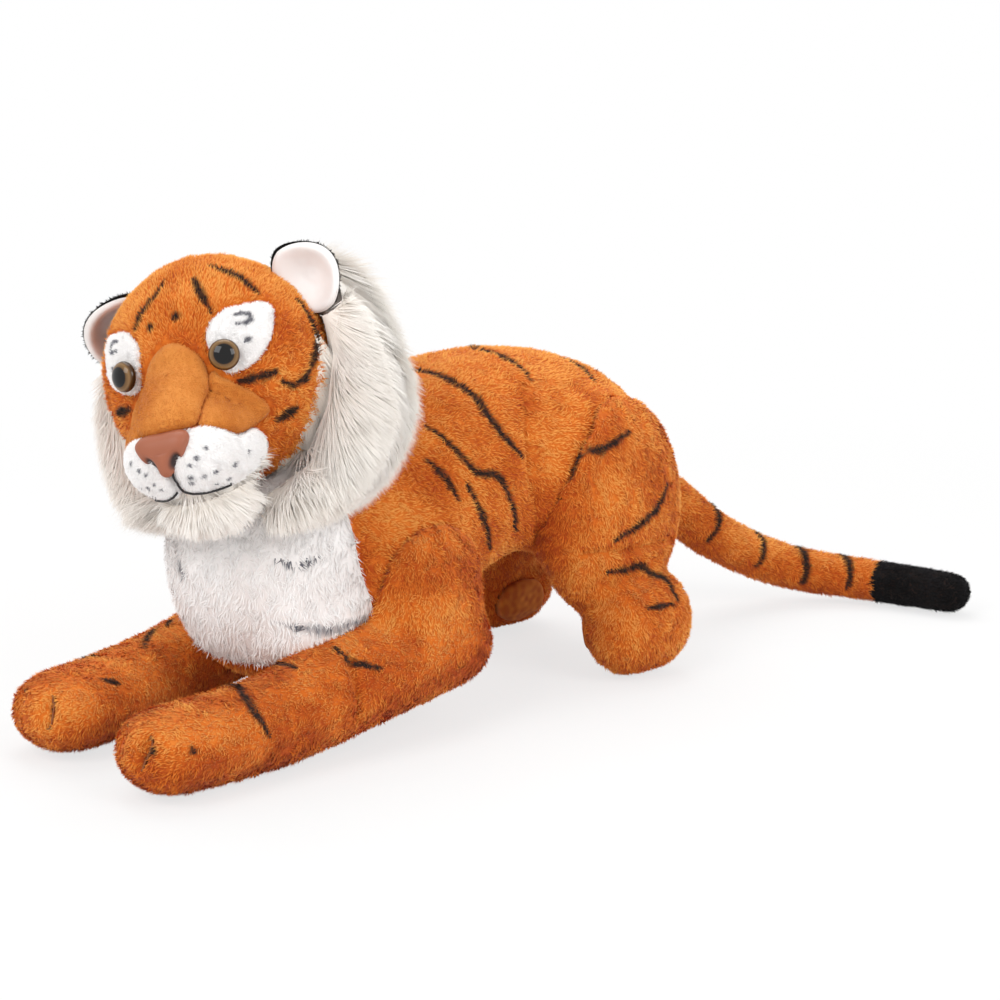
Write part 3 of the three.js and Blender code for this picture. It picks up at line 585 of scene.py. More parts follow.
MIDDLE = -34.6  # the animal's middle line, across
BODY_STRIPES = [  # places on the left flank, and half a width
    ([(-18, -133, 326), (4, -117, 321), (33, -98, 301), (46, -95, 286), (57, -83, 262),
      (62, -63, 241)], 4.5),
    ([(-34, -41, 337), (-1, -27, 329), (15, -19, 319), (29, -19, 308)], 4),
    ([(-30, 70, 325), (5, 81, 305), (24, 75, 296)], 4),
    ([(38, -166, 282), (50, -151, 268), (62, -126, 234), (64, -96, 228), (61, -74, 193),
      (48, -58, 163)], 3.5),
    ([(52, -179, 254), (61, -160, 232), (64, -150, 213)], 3.5),
    ([(63, -136, 224), (63, -118, 193), (46, -90, 148)], 3.5),
    ([(-20, 120, 300), (14, 128, 286), (40, 122, 262)], 4),
]
THIGH_CREASE = [([(32, -33, 306), (57, -54, 264), (63, -54, 217), (33, -20, 149)], 5)]


def mirrored(marks, shift=0):
    """The same marks on the other side. A shift moves them a little, as print doesn't match itself."""
    turned = []
    for i, (line, width) in enumerate(marks):
        slip = shift * (1 if i % 2 else -0.6)
        turned.append(([(2 * MIDDLE - x, y + slip, z) for x, y, z in line], width))
    return turned


BODY_MARKS = BODY_STRIPES + mirrored(BODY_STRIPES, 9)
TORSO_NODES = ["torso_cover_left", "torso_cover_right", "torso_filling"]
torso = skin_over("torso_cloth", TORSO_NODES + ["chest_bib"], 6, 12, 4, TORSO_NODES)
THIGHS = [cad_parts[f"hind_leg_cover_{side}"] for side in ("left", "right")]
SHOULDERS = [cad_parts[f"front_leg_cover_{side}"] for side in ("left", "right")]
swell_near(torso, THIGHS, 10, 16)
swell_near(torso, SHOULDERS, 9, 18)
groove(torso, THIGH_CREASE + mirrored(THIGH_CREASE), 5)
skin_values(torso, BODY_MARKS)
dress(torso, orange_pile)
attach(torso, "torso")


# Bib: a white plush panel let into the front of the torso, with a few grey marks.
# Its cloth is the front of the torso's skin, lifted a little, and its edge is sewn down.
def smooth_loop(corners, count):
    """A closed smooth line through the corners, in even steps of its parameter."""
    corners = np.array(corners, dtype=float)
    total = len(corners)
    line = []
    for place in np.linspace(0, total, count, endpoint=False):
        i, t = int(place), place % 1
        a, b, c, d = (corners[(i + k) % total] for k in (-1, 0, 1, 2))
        line.append(b + (c - a) * t / 2 + (2 * a - 5 * b + 4 * c - d) * t**2 / 2
                    + (3 * b - a - 3 * c + d) * t**3 / 2)
    return np.array(line)


def panel(name, corners, middle, heart, skins, lift, depth=3.0, rings=10, count=64, swell=0.0):
    """A sewn panel over skins: from its outline to its middle, seen from a heart inside the form."""
    outline = smooth_loop(corners, count)
    middle, heart = np.array(middle, dtype=float), np.array(heart, dtype=float)
    trees = [tree_of(skin) for skin in skins]
    tops = []
    for ring in range(rings + 1):
        share = 1 - ring / rings
        # the cloth turns down into the seam at its edge
        height = lift * min(1, (1 - share) * 6) + swell * sqrt(1 - share**3)
        for corner in outline if ring < rings else [middle]:
            aim = middle + (corner - middle) * share
            way = Vector(unit(aim - heart))
            start = Vector(heart * MM) + way * 0.5
            best = None
            for tree in trees:
                place, normal, _, _ = tree.ray_cast(start, -way)
                if place is not None and (best is None or (start - place).length < best[2]):
                    best = (place, normal, (start - place).length)
            place, normal, _ = best
            tops.append((place + normal * height * MM, place + normal * (height - depth) * MM))
    return closed_form(name, [top for top, _ in tops], [low for _, low in tops], rings, count)


def closed_form(name, tops, lows, rings, count):
    """Rings of points from an outline in to a middle, twice over, closed along the outline."""
    faces = []
    for ring in range(rings - 1):
        for i in range(count):
            a, b = ring * count + i, ring * count + (i + 1) % count
            faces.append((a, b, b + count, a + count))
    last = rings * count
    faces += [(last - count + i, last - count + (i + 1) % count, last) for i in range(count)]
    total = len(tops)
    faces += [tuple(total + corner for corner in reversed(face)) for face in faces]
    faces += [((i + 1) % count, i, total + i, total + (i + 1) % count) for i in range(count)]
    mesh = bpy.data.meshes.new(name)
    mesh.from_pydata([tuple(place) for place in tops] + [tuple(place) for place in lows], [], faces)
    piece = new_object(name, mesh)
    pick(piece)
    bpy.ops.object.mode_set(mode="EDIT")
    bpy.ops.mesh.select_all(action="SELECT")
    bpy.ops.mesh.normals_make_consistent(inside=False)
    bpy.ops.object.mode_set(mode="OBJECT")
    bpy.ops.object.shade_smooth()
    return piece


def sink_under(skin, panels, depth=3.0, reach=4.0):
    """Draws a skin in where panels cover it, so that their edges lie in a seam."""
    points = points_of(skin)
    deep = depth * MM * np.clip(1.5 - gap_to(panels, points) / (reach * MM), 0, 1)
    move_to(skin, points - normals_of(skin) * deep[:, None])


def outside_panels(panels, near):
    """A test for places that no panel covers."""
    return lambda points: gap_to(panels, points) > near * MM


def on_flank(sign):
    """A test for places on the left side of the torso, or with a sign of -1 on its right."""
    return lambda points: sign * (points[:, 0] - MIDDLE * MM) > 0


white_pile = plush("white pile", (242, 237, 235), (251, 249, 248), (255, 254, 254), (104, 104, 112))
BIB_OUTLINE = [
    (-34, -372, 66), (22, -350, 76), (60, -305, 92), (70, -262, 118), (66, -272, 165),
    (60, -284, 228), (34, -308, 270), (-34, -335, 282), (-102, -308, 270), (-128, -284, 228),
    (-136, -272, 165), (-138, -262, 118), (-128, -305, 92), (-92, -350, 76),
]
BIB_HEART = (-34, -230, 170)
bib = panel("bib_cloth", BIB_OUTLINE, (-34, -390, 160), BIB_HEART, [torso], 1.5)
BIB_MARKS = [
    ([(40, -352, 184), (54, -334, 176), (60, -314, 184)], 3),
    ([(44, -335, 121), (54, -300, 114), (58, -262, 119)], 4),
    ([(-44, -393, 172), (-40, -393, 158)], 3),
    ([(-110, -330, 178), (-122, -312, 186)], 3),
]
skin_values(bib, BIB_MARKS)
dress(bib, white_pile)
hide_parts("chest_bib")
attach(bib, "torso")
sink_under(torso, [bib])
bib_pile = pile(
    "bib_pile", bib, 18000, 7, 1.7, combed(0, -0.2, -1), 21, marks=BIB_MARKS, stray=0.4,
)
dress(bib_pile, white_pile)
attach(bib_pile, "torso")
for side, sign in (("left", 1), ("right", -1)):
    half = pile(
        f"torso_pile_{side}", torso, 36000, 5.2, 1.9, combed(0, 1, -0.5), 11 + sign, rise=42,
        keep=both(on_flank(sign), outside_panels([bib], 3)), marks=BODY_MARKS, stray=0.35,
    )
    dress(half, orange_pile)
    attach(half, "torso")


# Front legs: orange plush tubes over filling, bent at the elbow and sewn on at the shoulder.
# Two short threads across each paw draw in the toes.
FRONT_MARKS = [
    ([(28, -396, 80), (50, -402, 84), (69, -410, 82), (89, -411, 70), (102, -405, 50)], 3.5),
    ([(21, -351, 96), (45, -350, 98), (65, -349, 94)], 3),
    ([(68, -307, 103), (91, -303, 93), (104, -282, 87)], 3.5),
    ([(63, -512, 55)], 3),
    ([(94, -482, 54)], 3),
]
FAR_MARKS = [
    ([(-140, -352, 92), (-125, -372, 90), (-108, -387, 86)], 3),
    ([(-140, -335, 95), (-124, -350, 94)], 3),
    ([(-84, -451, 74), (-76, -437, 67)], 3),
    ([(-172, -420, 62), (-150, -432, 80), (-124, -430, 84)], 3.5),
]
ELBOW_TOP = 105
ELBOW_CREASE = [([(84, -300, 104), (93, -306, 98), (99, -308, 84), (103, -307, 41)], 4)]


def down_the_arm(roots, normals):
    ways = combed(0, -1, -0.25)(roots, normals)
    upper = roots[:, 2] > ELBOW_TOP * MM
    ways[upper] = (0, -0.35, -1)
    return ways


def twisted(name, shade):
    """Twisted thread: a plain colour with fine slanting ridges painted lighter, as painted highlight on the
    twist.
    """
    material, tree, shader = new_material(name)
    ridges = on_object(tree, "ShaderNodeTexWave", {"Scale": 900})
    # the ridges are painted lighter than the thread: painted highlight
    light = (min(255, 1.6 * part + 12) for part in shade)
    tint = mixed(tree, ridges, "Fac", colour(*shade), colour(*light))
    link(tree, tint, 2, shader, "Base Color")
    fill_in(shader, {"Roughness": 0.6})
    return material


def thread(name, lines, surfaces, radius, lift, material, body):
    """A sewn thread laid on surfaces along lines of places, as one mesh."""
    trees = [tree_of(surface) for surface in surfaces]
    data = bpy.data.curves.new(name, "CURVE")
    data.dimensions = "3D"
    data.bevel_depth = radius * MM
    data.bevel_resolution = 3
    data.use_fill_caps = True
    for line in lines:
        line = np.array(line, dtype=float)
        steps = np.linspace(0, len(line) - 1, 6 * len(line))
        spots = []
        for place in places_at(line, np.arange(len(line)), steps):
            hits = [found.find_nearest(place * MM) for found in trees]
            spot, normal, _, _ = min(hits, key=lambda hit: hit[3])
            spots.append(spot + normal * lift * MM)
        spline = data.splines.new("POLY")
        spline.points.add(len(spots) - 1)
        for point, spot in zip(spline.points, spots):
            point.co = (*spot, 1)
    piece = new_object(name, data)
    pick(piece)
    bpy.ops.object.convert(target="MESH")
    bpy.ops.object.shade_smooth()
    dress(piece, material)
    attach(piece, body)
    return piece


def run_of(name, steps=7):
    """The places that a toe's thread runs through, from the front of the paw back over it."""
    points = points_of(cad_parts[name]) / MM
    order = points[:, 1] + points[:, 2]
    edges = np.linspace(order.min(), order.max() + 0.01, steps + 1)
    slices = [points[(order >= low) & (order < high)] for low, high in zip(edges[:-1], edges[1:])]
    return [tuple(part.mean(axis=0)) for part in slices if len(part)]


def short_over(lines):
    """Pile that is shorter over seams."""
    return lambda roots: 1 - 0.7 * mark_strength(roots, lines, 0)


brown_thread = twisted("brown thread", (96, 52, 22))
for side, marks in (("left", FRONT_MARKS), ("right", FAR_MARKS)):
    nodes = [f"front_leg_cover_{side}", f"front_leg_filling_{side}"]
    leg = skin_over(f"front_leg_cloth_{side}", nodes, 5, 8, 4)
    swell_near(leg, [torso], 8, 16)
    threads = [f"toe_thread_{side}_{place}" for place in ("inner", "outer")]
    toes = [(run_of(name), 3) for name in threads]
    groove(leg, [(line, 8) for line, _ in toes], 5)
    toes = laid(toes, leg)
    groove(leg, toes, 2)
    groove(leg, ELBOW_CREASE if side == "left" else mirrored(ELBOW_CREASE), 5)
    # the cloth and pile along each toe thread take the print's dark colour: painted shade in the crease the
    # thread draws in
    marks = marks + [(line, 1.6) for line, _ in toes]
    skin_values(leg, marks)
    dress(leg, orange_pile)
    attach(leg, f"front_leg_{side}")
    leg_pile = pile(
        f"front_leg_pile_{side}", leg, 34000, 5, 1.8, down_the_arm, 31, rise=42,
        keep=clear_of([torso], 10), marks=marks, stray=0.4,
        thin=short_over(toes),
    )
    dress(leg_pile, orange_pile)
    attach(leg_pile, f"front_leg_{side}")
    for name, (line, _) in zip(threads, toes):
        stitch = thread(f"{name}_laid", [line], [leg], 1.0, 0.8, brown_thread,
                        f"front_leg_{side}")
        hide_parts(name)


# Hind legs: a broad thigh that tapers to a stubby foot, in one cover, sewn on at the hip.
# The soles are let in from short tan pile and look inwards.
THIGH_MARKS = [
    ([(83, 64, 251), (81, 28, 239), (71, 2, 233), (62, -33, 235), (63, -37, 224)], 4),
    ([(95, 110, 192), (100, 87, 170), (99, 49, 154), (97, 31, 148)], 4),
    ([(90, 28, 114), (96, 67, 116), (103, 96, 105), (122, 97, 82)], 4),
    ([(121, 53, 81), (123, 88, 79)], 3),
]
FAR_THIGH_MARKS = mirrored(THIGH_MARKS, 10)
FOOT_CREASE = [
    ([(80, 0, 138), (92, 18, 137), (98, 50, 136), (104, 84, 134), (116, 115, 130), (120, 140, 126)], 5),
]
tan_pile = plush("tan pile", (172, 88, 30), (200, 118, 44), (226, 148, 70), (60, 36, 24), bump=0.4,
                 grain=1300)
for side, marks in (("left", THIGH_MARKS), ("right", FAR_THIGH_MARKS)):
    nodes = [f"hind_leg_cover_{side}", f"hind_leg_filling_{side}"]
    leg = skin_over(f"hind_leg_cloth_{side}", nodes, 5, 8, 4)
    swell_near(leg, [torso], 7, 16)
    groove(leg, FOOT_CREASE if side == "left" else mirrored(FOOT_CREASE), 7)
    skin_values(leg, marks)
    dress(leg, orange_pile)
    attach(leg, f"hind_leg_{side}")
    sole = skin_over(f"sole_cloth_{side}", [f"sole_pad_{side}"], 2, 4, -1)
    skin_values(sole, height=0.3)
    dress(sole, tan_pile)
    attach(sole, f"hind_leg_{side}")
    leg_pile = pile(
        f"hind_leg_pile_{side}", leg, 34000, 5, 1.8, combed(0, 0.15, -1), 41, rise=42,
        keep=both(outside_panels([sole], 2.5), clear_of([torso], 10)), marks=marks, stray=0.4,
    )
    dress(leg_pile, orange_pile)
    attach(leg_pile, f"hind_leg_{side}")


# Tail: a thin stuffed tube of orange plush with dark rings, and a black tip sewn round its end.
TAIL_LINE = np.array([
    (-35, 160, 186), (-29, 233, 146), (-18, 310, 90), (9, 402, 43), (80, 469, 27), (194, 505, 24),
])
TAIL_RADIUS = 23


def ring_round(share, lean, width):
    """A ring of print round the tail, open underneath, as places and half a width."""
    reach = reach_of(TAIL_LINE)
    reach = reach / reach[-1]
    centre = places_at(TAIL_LINE, reach, share)
    ahead = places_at(TAIL_LINE, reach, share + 0.02)
    way = unit(ahead - centre)
    aside = unit(np.cross(way, (0, 0, 1)))
    up = np.cross(aside, way)
    turns = np.radians(np.linspace(-35, 215, 14))
    places = [
        centre + TAIL_RADIUS * (cos(t) * aside + sin(t) * up) + way * lean * cos(t) for t in turns
    ]
    return places, width


TAIL_MARKS = [
    ring_round(share, lean, width)
    for share, lean, width in ((0.14, 6, 5), (0.3, 8, 5.5), (0.46, 7, 5), (0.6, 8, 5.5), (0.7, 6, 4.5))
]
TIP_SEAM = np.array([86, 472, 27]) * MM
TIP_WAY = unit(np.array([114, 36, -3.0]))


def along_tail(roots, normals):
    ways = np.diff(TAIL_LINE, axis=0)
    middles = (TAIL_LINE[1:] + TAIL_LINE[:-1]) / 2 * MM
    far = np.linalg.norm(roots[:, None] - middles[None], axis=2)
    near = np.exp(-((far / (45 * MM)) ** 2))
    return unit(near @ unit(ways) + 1e-6)


def on_tip(roots):
    return (roots - TIP_SEAM) @ TIP_WAY > 0


tail = skin_over("tail_cloth", ["tail_cover", "tail_tip", "tail_filling"], 4, 8, 4)
skin_values(tail, TAIL_MARKS)
tail_points = points_of(tail)
rings = mark_strength(tail_points, laid(TAIL_MARKS, tail))
rings_and_tip = np.where(on_tip(tail_points), 1, rings).astype(np.float32)
tail.data.attributes["mark"].data.foreach_set("value", rings_and_tip)
dress(tail, orange_pile)
tail_pile = pile(
    "tail_pile", tail, 20000, 5.5, 1.6, along_tail, 51, rise=40,
    keep=lambda roots: ~on_tip(roots) & clear_of([torso], 10)(roots), marks=TAIL_MARKS, stray=0.4,
)
dress(tail_pile, orange_pile)
black_pile = plush("black pile", (8, 7, 8), (14, 13, 14), (34, 32, 35), (10, 10, 10), sheen=0.02)
tip_pile = pile("tail_tip_pile", tail, 8000, 5.5, 1.6, along_tail, 52, rise=40, keep=on_tip, stray=0.4,
                spare=6)
dress(tip_pile, black_pile)
for piece in (tail, tail_pile, tip_pile):
    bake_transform(piece)


# Head: a round stuffed head of orange plush, its printed stripes above the eyes and on the cheeks.
# Places on it are written as if it looked straight ahead, from its centre.
HEAD_CENTRE = np.array([-47.63, -339.56, 340])
HEAD_HALVES = (107, 95, 109)  # half its width, length and height
HEAD_TURN = np.array(Matrix.Rotation(radians(30), 3, "Z") @ Matrix.Rotation(radians(-14), 3, "Y"))


def on_head(places):
    """Places written as if the head looked straight ahead, in the row frame."""
    return np.array(places, dtype=float) @ HEAD_TURN.T + HEAD_CENTRE


def in_head(points):
    """Points of the row frame in metres, as if the head looked straight ahead, in millimetres."""
    return (points / MM - HEAD_CENTRE) @ HEAD_TURN


CROWN_MARKS = [
    ([(30, -29, 97), (54, -33, 85), (73, -38, 64)], 3.5),
    ([(20, -47, 89), (28, -60, 77), (39, -71, 58)], 3),
    ([(-9, -46, 92), (-14, -56, 83), (-30, -68, 68), (-35, -72, 57)], 3),
    ([(7, -76, 61)], 3.8),
    ([(-18, -77, 57)], 3.4),
    ([(53, -80, -8), (64, -74, -7), (80, -60, -6)], 4),
    ([(94, -1, 49), (100, -3, 36), (104, -2, 15), (102, -20, -6), (97, -33, -19), (87, -47, -23),
      (82, -55, -16)], 4),
    ([(69, -56, -48), (84, -41, -43)], 4.5),
    ([(-94, -1, 49), (-100, -3, 36), (-104, -2, 15), (-102, -20, -6), (-97, -33, -19)], 4),
    ([(-60, -78, -10), (-80, -60, -12)], 4),
    ([(-72, -56, -46), (-86, -41, -40)], 4.5),
    ([(-50, 30, 90), (-14, 36, 99), (22, 34, 98)], 4),
    ([(52, 60, 66), (20, 72, 72), (-20, 74, 70)], 4),
]
HEAD_MARKS = [(on_head(line), width) for line, width in CROWN_MARKS]
HEAD_NODES = ["head_cover", "head_filling"]
FACE_NODES = ["eye_patch_left", "eye_patch_right", "nose_bridge", "cheek_panel_left",
              "cheek_panel_right", "muzzle_left", "muzzle_right"]
head = skin_over("head_cloth", HEAD_NODES + FACE_NODES, 4, 10, 3, HEAD_NODES)
skin_values(head, HEAD_MARKS)
dress(head, orange_pile)
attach(head, "head")


# Face panels: white patches round the eyes, a tan bridge and cheeks of short pile, and two
# puffed white muzzle halves that meet in a split under the nose.
PATCH = [(35, -84, 26), (34, -81, 40), (41, -73, 51), (52, -65, 57), (68, -51, 57), (80, -41, 55),
         (85, -40, 46), (83, -52, 28), (76, -64, 14), (66, -74, 6), (52, -84, 3), (41, -86, 10)]
BRIDGE = [(0, -86, 42), (20, -88, 36), (32, -90, 20), (34, -98, 2), (30, -116, -16), (28, -130, -28),
          (14, -140, -30), (0, -143, -30), (-14, -140, -30), (-28, -130, -28), (-30, -116, -16),
          (-34, -98, 2), (-32, -90, 20), (-20, -88, 36)]
CHEEK = [(34, -90, 11), (43, -86, 4), (50, -80, -6), (55, -68, -26), (58, -62, -40), (58, -78, -46),
         (54, -108, -47), (42, -120, -39), (30, -131, -30), (30, -112, -10)]
MUZZLE = [(1, -138, -86), (1, -150, -66), (1, -152, -48), (12, -147, -34), (30, -132, -32),
          (45, -120, -40), (54, -109, -48), (58, -85, -47), (59, -66, -58), (54, -62, -74),
          (44, -85, -88), (24, -118, -92)]
SNOUT_HEART = (0, -60, -45)
DOTS = [(35, -137, -49), (27, -143, -55), (21, -145, -61), (35, -129, -71), (45, -115, -70),
        (16, -141, -71), (26, -135, -73), (36, -113, -81), (28, -121, -82), (50, -100, -62),
        (14, -140, -80)]


def flipped(places):
    return [(-x, y, z) for x, y, z in places]


def radial(roots, normals):
    """Face pile is combed outwards from the end of the nose."""
    return roots - on_head([(0, -150, -35)])[0] * MM


panels = []
snout = on_head([SNOUT_HEART])[0]
for side, turn in (("left", list), ("right", flipped)):
    dots = [([place + 10 * unit(place - snout)], 1.7) for place in on_head(turn(DOTS))]
    patch_marks = [
        (on_head(turn([(57, -66, 50), (66, -60, 51), (72, -58, 45), (66, -63, 40), (58, -68, 42)])), 2),
        (on_head(turn([(63, -71, 26), (68, -69, 28)])), 2.2),
    ]
    specs = [
        (f"eye_patch_{side}", PATCH, (60, -68, 30), (0, -10, 0), 1.2, 0, white_pile, "white_velvet",
         6000, patch_marks),
        (f"cheek_panel_{side}", CHEEK, (48, -95, -22), SNOUT_HEART, 1, 5, tan_pile, "tan_velvet", 4500, []),
        (f"muzzle_{side}", MUZZLE, (36, -112, -64), (16, -60, -55), 1, 6, white_pile, "white_velvet",
         13000, dots),
    ]
    for name, outline, middle, heart, lift, swell, material, slot, count, marks in specs:
        here = on_head(turn(outline))
        centre = on_head(turn([middle]))[0]
        inner = on_head(turn([heart]))[0]
        cloth = panel(f"{name}_cloth", here, centre, inner, [head], lift, depth=4, swell=swell)
        skin_values(cloth, marks, height=0.5, speckle=0.16)
        dress(cloth, material)
        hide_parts(name)
        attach(cloth, "head")
        panels.append(cloth)
        length = 2 if material is tan_pile else 3.4
        nap = pile(f"{name}_pile", cloth, count, length, 1.3, radial, 61, rise=40, marks=marks, stray=0.3,
                   curl=12)
        dress(nap, material)
        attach(nap, "head")
cloth = panel("nose_bridge_cloth", on_head(BRIDGE), on_head([(0, -112, 0)])[0], snout, [head], 1,
              depth=4, swell=7)
skin_values(cloth, height=0.5, speckle=0.16)
dress(cloth, tan_pile)
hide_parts("nose_bridge")
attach(cloth, "head")
panels.append(cloth)
nap = pile("nose_bridge_pile", cloth, 8000, 2, 1.3, radial, 62, rise=40, stray=0.3, curl=12)
dress(nap, tan_pile)
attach(nap, "head")
sink_under(head, panels)

# under the lips the head is covered by the chin's long pile
CHIN = [(0, -134, -90), (22, -119, -93), (40, -100, -88), (54, -82, -76), (62, -60, -86),
        (30, -50, -114), (0, -50, -120), (-30, -50, -114), (-62, -60, -86), (-54, -82, -76),
        (-40, -100, -88), (-22, -119, -93)]
chin_core = skin_over("chin_core", ["chin_tuft"], 4, 6, 5, [])
chin = panel("chin_cloth", on_head(CHIN), on_head([(0, -92, -108)])[0], snout, [head, chin_core], 0.5)


def knap_of_head(roots):
    """The pile is smooth on the brow, and curled and tufted on the cheeks."""
    here = in_head(roots)
    cheek = np.clip((abs(here[:, 0]) - 32) / 25, 0, 1) * np.clip((50 - here[:, 2]) / 30, 0, 1)
    return 0.55 + 1.1 * cheek


head_pile = pile(
    "head_pile", head, 42000, 5, 1.5, radial, 63, rise=42, keep=outside_panels(panels + [chin], 3),
    marks=HEAD_MARKS, stray=0.4, curl=11, knap=knap_of_head,
)
dress(head_pile, orange_pile)
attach(head_pile, "head")


# Nose: a moulded wedge of soft brown vinyl on a stem, its nostrils hollowed out either side of a
# wall that runs down to the split of the mouth.
NOSE_SHARES = [(0, 0.5), (0.36, 0.48), (0.5, 0.3), (0.4, -0.02), (0.2, -0.3), (0, -0.5),
               (-0.2, -0.3), (-0.4, -0.02), (-0.5, 0.3), (-0.36, 0.48)]
NOSE_HEIGHT = -48
NOSE_FRONT = -146
NOSE_BACK = -134
NOSE_SIZE = (50, 37)
NOSTRIL_ASIDE = 10.5
NOSTRIL_DROP = 6


def nose_mesh(name, rings=26, count=96):
    outline = smooth_loop([(x * NOSE_SIZE[0], 0, z * NOSE_SIZE[1]) for x, z in NOSE_SHARES], count)
    fronts = []
    nostril_shade = []
    for ring in range(rings + 1):
        share = 1 - ring / rings
        for corner in outline if ring < rings else outline[:1]:
            x, z = corner[0] * share, corner[2] * share
            hollow = 0
            for sign in (1, -1):
                across = (sign * x - NOSTRIL_ASIDE - 0.35 * (z + NOSTRIL_DROP)) / 5
                down = (z + NOSTRIL_DROP) / 8
                hollow = max(hollow, float(np.exp(-((across**2 + down**2) ** 2))))
            wall = 1.5 * float(np.exp(-((x / 4.5) ** 2))) * (z < 2)
            proud = 12 * (1 - share**4) ** 0.5 + wall - 6 * hollow
            fronts.append((x, NOSE_FRONT - proud + 0.12 * z, NOSE_HEIGHT + z))
            nostril_shade.append(hollow)
    backs = [(x * 0.9, NOSE_BACK, z) for x, _, z in fronts]
    piece = closed_form(name, on_head(fronts) * MM, on_head(backs) * MM, rings, count)
    add_values(piece.data, hollow=np.array(nostril_shade + [0] * len(backs)))
    return piece


vinyl, tree, shader = new_material("brown vinyl")
# the vinyl is painted near black the deeper a nostril is hollowed: painted shade in the nostrils
hollow = node(tree, "ShaderNodeAttribute", attribute_name="hollow")
deep = node(tree, "ShaderNodeMapRange", {"From Min": 0.25, "From Max": 0.85})
link(tree, hollow, "Fac", deep, "Value")
tint = mixed(tree, deep, "Result", colour(158, 90, 62), colour(40, 15, 12))
link(tree, tint, 2, shader, "Base Color")
grained(tree, shader, 1400, 2, 0.15, 0.0004)
fill_in(shader, {"Roughness": 0.5})
nose = nose_mesh("nose_vinyl")
dress(nose, vinyl)
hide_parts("nose")
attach(nose, "head")


# Mouth: one black thread down the split under the nose and out along each lip. It is laid on
# the cloth of the muzzle's two halves.
black_thread = twisted("black thread", (18, 16, 18))
muzzles = [piece for piece in panels if piece.name.startswith("muzzle")]
SPLIT = [(2, -150, -64), (2, -146, -74), (2, -138, -84)]
LIP = [(2, -138, -84), (12, -133, -87), (24, -122, -87), (38, -108, -83)]
mouth = thread(
    "mouth_stitch", [on_head(line) for line in (SPLIT, LIP, flipped(LIP))], muzzles, 1.0, 2.2,
    black_thread, "head",
)
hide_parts("mouth_thread")


# Eyes: moulded domes of clear brown plastic over a black pupil. The colour runs out from the
# pupil in rings, under a clear gloss. Their stems are hidden, so they aren't modelled here.
EYE = (48, -86.5, 19.5)
EYE_RADIUS = 13.5
EYE_RISE = 8
EYE_SINK = 2
PUPIL = 0.6, (8, 6, 6)  # shares of the radius, and colours
IRIS = ((0.635, (44, 28, 16)), (0.68, (102, 74, 42)), (0.86, (136, 104, 64)), (0.94, (84, 58, 32)))
EYE_EDGE = 1, (50, 32, 18)


def eye_plastic(name, seat, turn):
    material, tree, shader = new_material(name)
    placing = {"Location": seat, "Rotation": turn.to_euler()}
    own = on_object(tree, "ShaderNodeMapping", placing, vector_type="TEXTURE")
    flat = node(tree, "ShaderNodeVectorMath", {1: (1, 1, 0)}, operation="MULTIPLY")
    link(tree, own, "Vector", flat, 0)
    far = node(tree, "ShaderNodeVectorMath", operation="LENGTH")
    link(tree, flat, 0, far, 0)
    share = node(tree, "ShaderNodeMath", {1: EYE_RADIUS * MM}, operation="DIVIDE")
    link(tree, far, "Value", share, 0)
    ramp = node(tree, "ShaderNodeValToRGB")
    link(tree, share, 0, ramp, "Fac")
    stops = ramp.color_ramp.elements
    for stop, (place, shade) in zip(stops, (PUPIL, EYE_EDGE)):
        stop.position = place
        stop.color = colour(*shade)
    for place, shade in IRIS:
        stops.new(place).color = colour(*shade)
    link(tree, ramp, "Color", shader, "Base Color")
    fill_in(shader, {"Roughness": 0.4, "Specular IOR Level": 0, "Coat Weight": 1,
                     "Coat Roughness": 0.02, "Coat IOR": 1.4})
    return material


for side, sign in (("left", 1), ("right", -1)):
    x, y, z = EYE
    seat = Vector(on_head([(sign * x, y, z)])[0] * MM)
    wide, deep, tall = HEAD_HALVES
    slope = Vector((sign * x / wide**2, y / deep**2, z / tall**2)).normalized()
    turn = (Matrix(HEAD_TURN.tolist()) @ slope).to_track_quat("Z", "Y")
    deselect()
    bpy.ops.mesh.primitive_uv_sphere_add(
        segments=48, ring_count=24, radius=EYE_RADIUS * MM, location=(0, 0, 0)
    )
    eye = bpy.context.object
    eye.name = f"eye_dome_{side}"
    bpy.ops.object.mode_set(mode="EDIT")
    bpy.ops.transform.resize(value=(1, 1, EYE_RISE / EYE_RADIUS))
    bpy.ops.mesh.bisect(
        plane_co=(0, 0, -EYE_SINK * MM), plane_no=(0, 0, 1), clear_inner=True, use_fill=True
    )
    bpy.ops.object.mode_set(mode="OBJECT")
    bpy.ops.object.shade_smooth_by_angle(angle=radians(40))
    eye.data.transform(Matrix.Translation(seat) @ turn.to_matrix().to_4x4())
    dress(eye, eye_plastic(f"eye plastic {side}", seat, turn))
    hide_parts(f"eye_{side}")
    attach(eye, "head")


# Ears: two cupped panels each, black plush behind and white velvet in front, sewn on at the crown.
# The right ear is folded further forward, as in the photograph.
EAR_ASIDE = 88
EAR_BACK = 20
EAR_RISE = 56
EAR_RINGS = 16
EAR_COUNT = 64
velvet = plush("white velvet", (230, 224, 220), (246, 242, 240), (253, 252, 251), (92, 92, 100),
               bump=0.2, grain=1300)


def ear_surface(sign, depths, wider, fold):
    """One face of the cupped ear, ring by ring from its edge to its middle."""
    splay = np.array(Matrix.Rotation(radians(54 * sign), 3, "Y") @ Matrix.Rotation(radians(fold), 3, "X"))
    places = []
    for ring in range(EAR_RINGS + 1):
        share = 1 - ring / EAR_RINGS
        depth = np.interp(share, *depths)
        for i in range(EAR_COUNT if ring < EAR_RINGS else 1):
            turn = 2 * pi * i / EAR_COUNT
            narrow = 1 - 0.16 * share * max(0, sin(turn))
            cupped = 6 * (share * cos(turn)) ** 2
            # the back panel wraps round the edge on the side of the crown
            wrap = 1 + wider * max(0, -sign * cos(turn)) * share
            places.append((34 * wrap * share * cos(turn) * narrow, depth - cupped,
                           15 + 31 * share * sin(turn)))
    return on_head(np.array(places) @ splay.T + np.array([EAR_ASIDE * sign, EAR_BACK, EAR_RISE])) * MM


